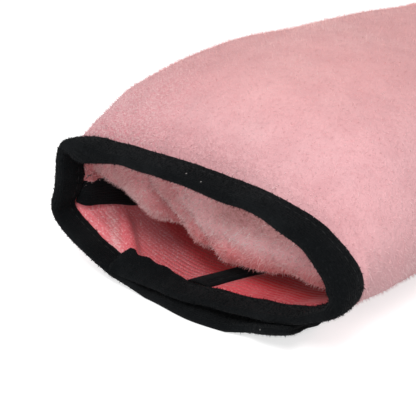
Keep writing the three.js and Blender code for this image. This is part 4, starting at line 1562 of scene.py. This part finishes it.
def make_bindings():
    """Tapes of both mouths and of the four long edges; returns the rings of the mouths' tapes."""
    last = len(ROWS) - 1
    mouths = {}
    front = mouth_rings(0, True, True)
    rear = mouth_rings(last, False, False)
    for name, rings, node in (("front_mouth_tape", front, "front_mouth_binding"),
                              ("rear_mouth_tape", rear, "rear_mouth_binding")):
        rings = stand_on_floor(rings, 0.0)
        mouths[name] = rings
        settle(folded_loft(name, rings, TAPE_CLOTH), "binding_tape", node)
        stitches(f"{name}_stitches", rings, slice(TAIL_STEPS + 1, -END_STEPS - 1))
    for name, node, grid, normals, width, from_end in (
        ("inner_flap_tape", "inner_flap_edge_binding", COVER, COVER_NORMALS, TAPE_ON_CLOTH, False),
        ("outer_flap_tape", "outer_flap_edge_binding", COVER, COVER_NORMALS, TAPE_ON_CLOTH, True),
        ("panel_tape_right", "inner_panel_binding_right", PANEL, PANEL_NORMALS, TAPE_ON_CLOTH, False),
        ("panel_tape_left", "inner_panel_binding_left", PANEL, PANEL_NORMALS, PANEL_TAPE_ON_CLOTH, True),
    ):
        rings = stand_on_floor(long_edge_rings(grid, normals, LONG_TAPE_START, width, from_end), 0.0)
        settle(folded_loft(name, rings, TAPE_CLOTH), "binding_tape", node)
        stitches(f"{name}_stitches", rings, slice(END_STITCH_GAP, -END_STITCH_GAP))
    return mouths


# Fastening

STRIP_BASE = 0.55
STRIP_CORNER_RADIUS = 2.0
STRIP_CORNER_STEPS = 4
STRIP_BARE_RIM = 1.6
STRIP_STITCH_INSET = 1.2
STRIP_LINE_STEP = 2
LOOP_HEIGHT = 0.75
HOOK_HEIGHT = 0.7
HOOK_PITCH = 1.3


def strip_plate(name, low, high, level):
    """A thin woven strip with rounded corners, from its lowest and highest corners."""
    middle = (low + high) / 2
    straight = (high - low) / 2 - STRIP_CORNER_RADIUS
    outline = []
    for corner, (right, back) in enumerate(((1, -1), (1, 1), (-1, 1), (-1, -1))):
        for k in range(STRIP_CORNER_STEPS + 1):
            turn = math.pi / 2 * (corner - 1 + k / STRIP_CORNER_STEPS)
            outline.append((
                middle[0] + right * straight[0] + STRIP_CORNER_RADIUS * math.cos(turn),
                middle[1] + back * straight[1] + STRIP_CORNER_RADIUS * math.sin(turn),
            ))
    count = len(outline)
    points = [(x, y, z) for z in (level, level + STRIP_BASE) for x, y in outline]
    faces = [tuple(range(count))[::-1], tuple(range(count, 2 * count))]
    faces += [(k, (k + 1) % count, count + (k + 1) % count, count + k) for k in range(count)]
    plate = new_piece(name, points, faces, FASTENER)
    for polygon in plate.data.polygons:
        polygon.use_smooth = False
    return plate


def strip_field(low, high, level, up):
    """A flat grid of cells, one for each hook or loop of a strip."""
    xs, ys = (
        np.arange(low[k] + STRIP_BARE_RIM, high[k] - STRIP_BARE_RIM + 0.01, HOOK_PITCH) for k in range(2)
    )
    grid = np.stack([*np.meshgrid(xs, ys), np.full((len(ys), len(xs)), level)], axis=-1)
    return new_piece("cells", grid.reshape(-1, 3), grid_faces(len(ys), len(xs), 0, up), None)


def make_fastening():
    """The loop strip on the outer flap, the hook strip above it and the thread that sews them on."""
    hook_low, hook_high = box_mm("hook_strip")
    loop_plate = strip_plate("loop_strip_weave", STRIP_LOW, STRIP_HIGH, STRIP_LOW[2])
    settle(loop_plate, "fastener_tape", "loop_strip")
    hook_level = hook_high[2] - STRIP_BASE
    hook_plate = strip_plate("hook_strip_weave", hook_low, hook_high, hook_level)
    settle(hook_plate, "fastener_tape", "hook_strip")
    loops = grown("loops", strip_field(STRIP_LOW, STRIP_HIGH, STRIP_LOW[2] + STRIP_BASE, True), HOOK_TREE,
                  Height=LOOP_HEIGHT * MM, Wire=0.00007, Arc=5.4, Disorder=1.2, Seed=3, Material=FASTENER)
    settle(loops, "fastener_tape")
    hooks = grown("hooks", strip_field(hook_low, hook_high, hook_level, False), HOOK_TREE,
                  Height=HOOK_HEIGHT * MM, Wire=0.0001, Arc=4.2, Disorder=0.1, Seed=4, Material=FASTENER)
    settle(hooks, "fastener_tape")
    x0, x1 = STRIP_LOW[0] + STRIP_STITCH_INSET, STRIP_HIGH[0] - STRIP_STITCH_INSET
    y0, y1 = STRIP_LOW[1] + STRIP_STITCH_INSET, STRIP_HIGH[1] - STRIP_STITCH_INSET
    corners = [(x0, y0), (x1, y0), (x1, y1), (x0, y1), (x0, y0)]
    runs = []
    for k, level in enumerate((THREAD_LEVEL, INNER_FLAP_REST + CLOTH / 2)):
        line = []
        for (ax, ay), (bx, by) in zip(corners, corners[1:]):
            count = max(2, int(math.hypot(bx - ax, by - ay) / STRIP_LINE_STEP))
            line += [(mix(ax, bx, t), mix(ay, by, t), level) for t in np.linspace(0, 1, count)[:-1]]
        runs.append(grown(f"strip_run_{k}", line_host(line), THREAD_TREE, Spacing=0.003, Length=0.0025,
                          Radius=0.0002, Material=PINK_THREAD))
    settle(join("strip_stitches", runs), "fastener_tape")


# Pile

FIBRE_CLEARANCE = 1.6
FIBRE_ROOT_DEPTH = 0.25
COVER_PILE_BANDS = 4
COVER_FIBRES_PER_MM2 = 1.3
PANEL_FIBRES_PER_MM2 = 2.9
TAPE_FIBRES_PER_MM2 = 2.2
PER_SQUARE_METRE = 1e6


def pile_presence():
    """Where fibres stand on the cover: clear of the tapes and the floor, densest beside the mouths' tapes.

    Where the pile is ruffled they are dense too.
    """
    off_mouth = smoothstep(NEAR - TAPE_EXTRA, TAPE_WIDTH - 0.4, TAPE_WIDTH + 0.4)
    off_edges = smoothstep(TO_LONG_EDGE, TAPE_ON_CLOTH - 0.2, TAPE_ON_CLOTH + 0.6)
    beside_tape = 1 - smoothstep(NEAR, TAPE_WIDTH + 0.5, TAPE_WIDTH + 5)
    off_floor = smoothstep(COVER_OUTSIDE[..., 2], FIBRE_CLEARANCE, FIBRE_CLEARANCE + 1)
    density = 0.6 + 0.4 * beside_tape + 0.8 * RUFFLED
    return np.minimum(np.minimum(off_mouth, off_edges), off_floor) * density


def make_pile():
    """Fibres on the cover, in bands along the sleeve, and denser ones on the panel's underside."""
    rooted = COVER_OUTSIDE - COVER_NORMALS * FIBRE_ROOT_DEPTH
    presence = pile_presence()
    bands = np.linspace(0, len(ROWS) - 1, COVER_PILE_BANDS + 1).astype(int)
    for k, (start, end) in enumerate(zip(bands, bands[1:])):
        part = slice(start, end + 1)
        pile = grown(
            f"cover_pile_{k + 1}", emitter(rooted[part], presence[part]), FIBRE_TREE,
            Density=COVER_FIBRES_PER_MM2 * PER_SQUARE_METRE, Length=0.0014, Radius=0.0001,
            Brushed=(0.25, -0.35, -0.1), Spread=0.75, Seed=20 + k, Material=PLUSH_FIBRE,
        )
        settle(pile, "cover_plush")
    free = np.minimum(smoothstep(NEAR, TAPE_WIDTH, TAPE_WIDTH + 2), smoothstep(PANEL_SIDE, 6, 8))
    # Fewer pale fibres in the painted lip shadow and the painted crease shade, and on the right more along
    # the painted highlight.
    seen = (0.06 + 0.94 * (1 - smoothstep(NEAR, 28, 60))) * (1 - 0.95 * PANEL_UNDER_LIP_SHADOW)
    to_right = smoothstep(PANEL[..., 0], -12, 4)
    seen = seen * (1 - 0.8 * CREASE_DEPTH) * mix(1.35, 0.3 + 0.6 * PANEL_PAINTED_HIGHLIGHT, to_right)
    rooted = PANEL_UNDER + PANEL_NORMALS * FIBRE_ROOT_DEPTH
    pile = grown(
        "panel_pile", emitter(rooted, free * seen, flip=True), FIBRE_TREE,
        Density=PANEL_FIBRES_PER_MM2 * PER_SQUARE_METRE, Length=0.0016, Radius=0.0001,
        Brushed=(-0.2, -0.3, -0.2), Spread=0.9, Seed=31, Material=PANEL_FIBRE,
    )
    settle(pile, "panel_plush")


def make_tape_fuzz(tapes):
    """Very short black fibres that roughen the outlines of the mouths' tapes."""
    fuzz = []
    for k, (name, rings) in enumerate(tapes.items()):
        outside = rings[:, :rings.shape[1] // 2]
        fuzz.append(grown(
            f"fuzz_{k}", emitter(outside, smoothstep(outside[..., 2], 1.4, 2.4)), FIBRE_TREE,
            Density=TAPE_FIBRES_PER_MM2 * PER_SQUARE_METRE, Length=0.0007, Radius=0.00011,
            Brushed=(0, 0, 0.1), Spread=1.2, Seed=50 + k, Material=TAPE_CLOTH,
        ))
    settle(join("tape_fuzz", fuzz), "binding_tape")


make_cover()
make_panel()
make_filling()
MOUTH_TAPES = make_bindings()
make_fastening()
make_pile()
make_tape_fuzz(MOUTH_TAPES)


# Floor, light and camera

FLOOR_HALF_WIDTH = 4000
FLOOR_COLOUR = (0.82, 0.82, 0.82)
FLOOR_GLOW = 0.65
SKY_STRENGTH = 0.48
CAMERA_PLACE = Vector((0.190775, -0.337278, 0.134315))
CAMERA_AZIMUTH = math.radians(42)
CAMERA_ELEVATION = math.radians(20)
CAMERA_LENS_MM = 84.63
CAMERA_SENSOR_MM = 36


def seen_directly(tree):
    """1 for what the camera sees itself, in a mirror or through glass, and 0 for what lights the object."""
    path = add_node(tree, "ShaderNodeLightPath").outputs
    seen = calculate(tree, "MAXIMUM", path["Is Camera Ray"], path["Is Glossy Ray"])
    return calculate(tree, "MAXIMUM", seen, path["Is Transmission Ray"])


def make_floor():
    reach = FLOOR_HALF_WIDTH
    corners = [(-reach, -reach, 0), (reach, -reach, 0), (reach, reach, 0), (-reach, reach, 0)]
    floor = new_piece("floor", corners, [(0, 1, 2, 3)], None)
    material, tree, shader = new_material("pale_floor", FLOOR_COLOUR)
    feed(tree, shader, Roughness=1.0, Specular_IOR_Level=0.0, Emission_Color=(1, 1, 1, 1),
         Emission_Strength=share_of(tree, seen_directly(tree), FLOOR_GLOW))
    floor.data.materials[0] = material


def make_world():
    world = bpy.data.worlds.new("studio")
    bpy.context.scene.world = world
    world.use_nodes = True
    tree = world.node_tree
    background = tree.nodes["Background"]
    background.inputs["Color"].default_value = (1, 1, 1, 1)
    strength = spread(tree, seen_directly(tree), 0, 1, SKY_STRENGTH, 1.0)
    tree.links.new(strength, background.inputs["Strength"])


def make_lamp(name, place, energy, size):
    lamp = bpy.data.lights.new(name, "AREA")
    lamp.energy, lamp.size = energy, size
    lamp_object = bpy.data.objects.new(name, lamp)
    lamp_object.location = place
    lamp_object.rotation_euler = (-Vector(place)).to_track_quat("-Z", "Y").to_euler()
    bpy.context.scene.collection.objects.link(lamp_object)


def make_camera():
    camera = bpy.data.cameras.new("camera")
    camera.lens = CAMERA_LENS_MM
    camera.sensor_width = CAMERA_SENSOR_MM
    camera.clip_start = 0.01
    camera_object = bpy.data.objects.new("camera", camera)
    camera_object.location = CAMERA_PLACE
    flat = math.cos(CAMERA_ELEVATION)
    looking = Vector((-math.sin(CAMERA_AZIMUTH) * flat, math.cos(CAMERA_AZIMUTH) * flat,
                      -math.sin(CAMERA_ELEVATION)))
    camera_object.rotation_euler = looking.to_track_quat("-Z", "Y").to_euler()
    bpy.context.scene.collection.objects.link(camera_object)
    bpy.context.scene.camera = camera_object


make_floor()
make_world()
make_lamp("key", (0.36, -0.68, 0.78), 5.05, 0.4)
make_lamp("fill", (0.35, -0.95, 0.33), 1.55, 0.3)
make_camera()
bpy.context.scene.view_settings.view_transform = "Standard"
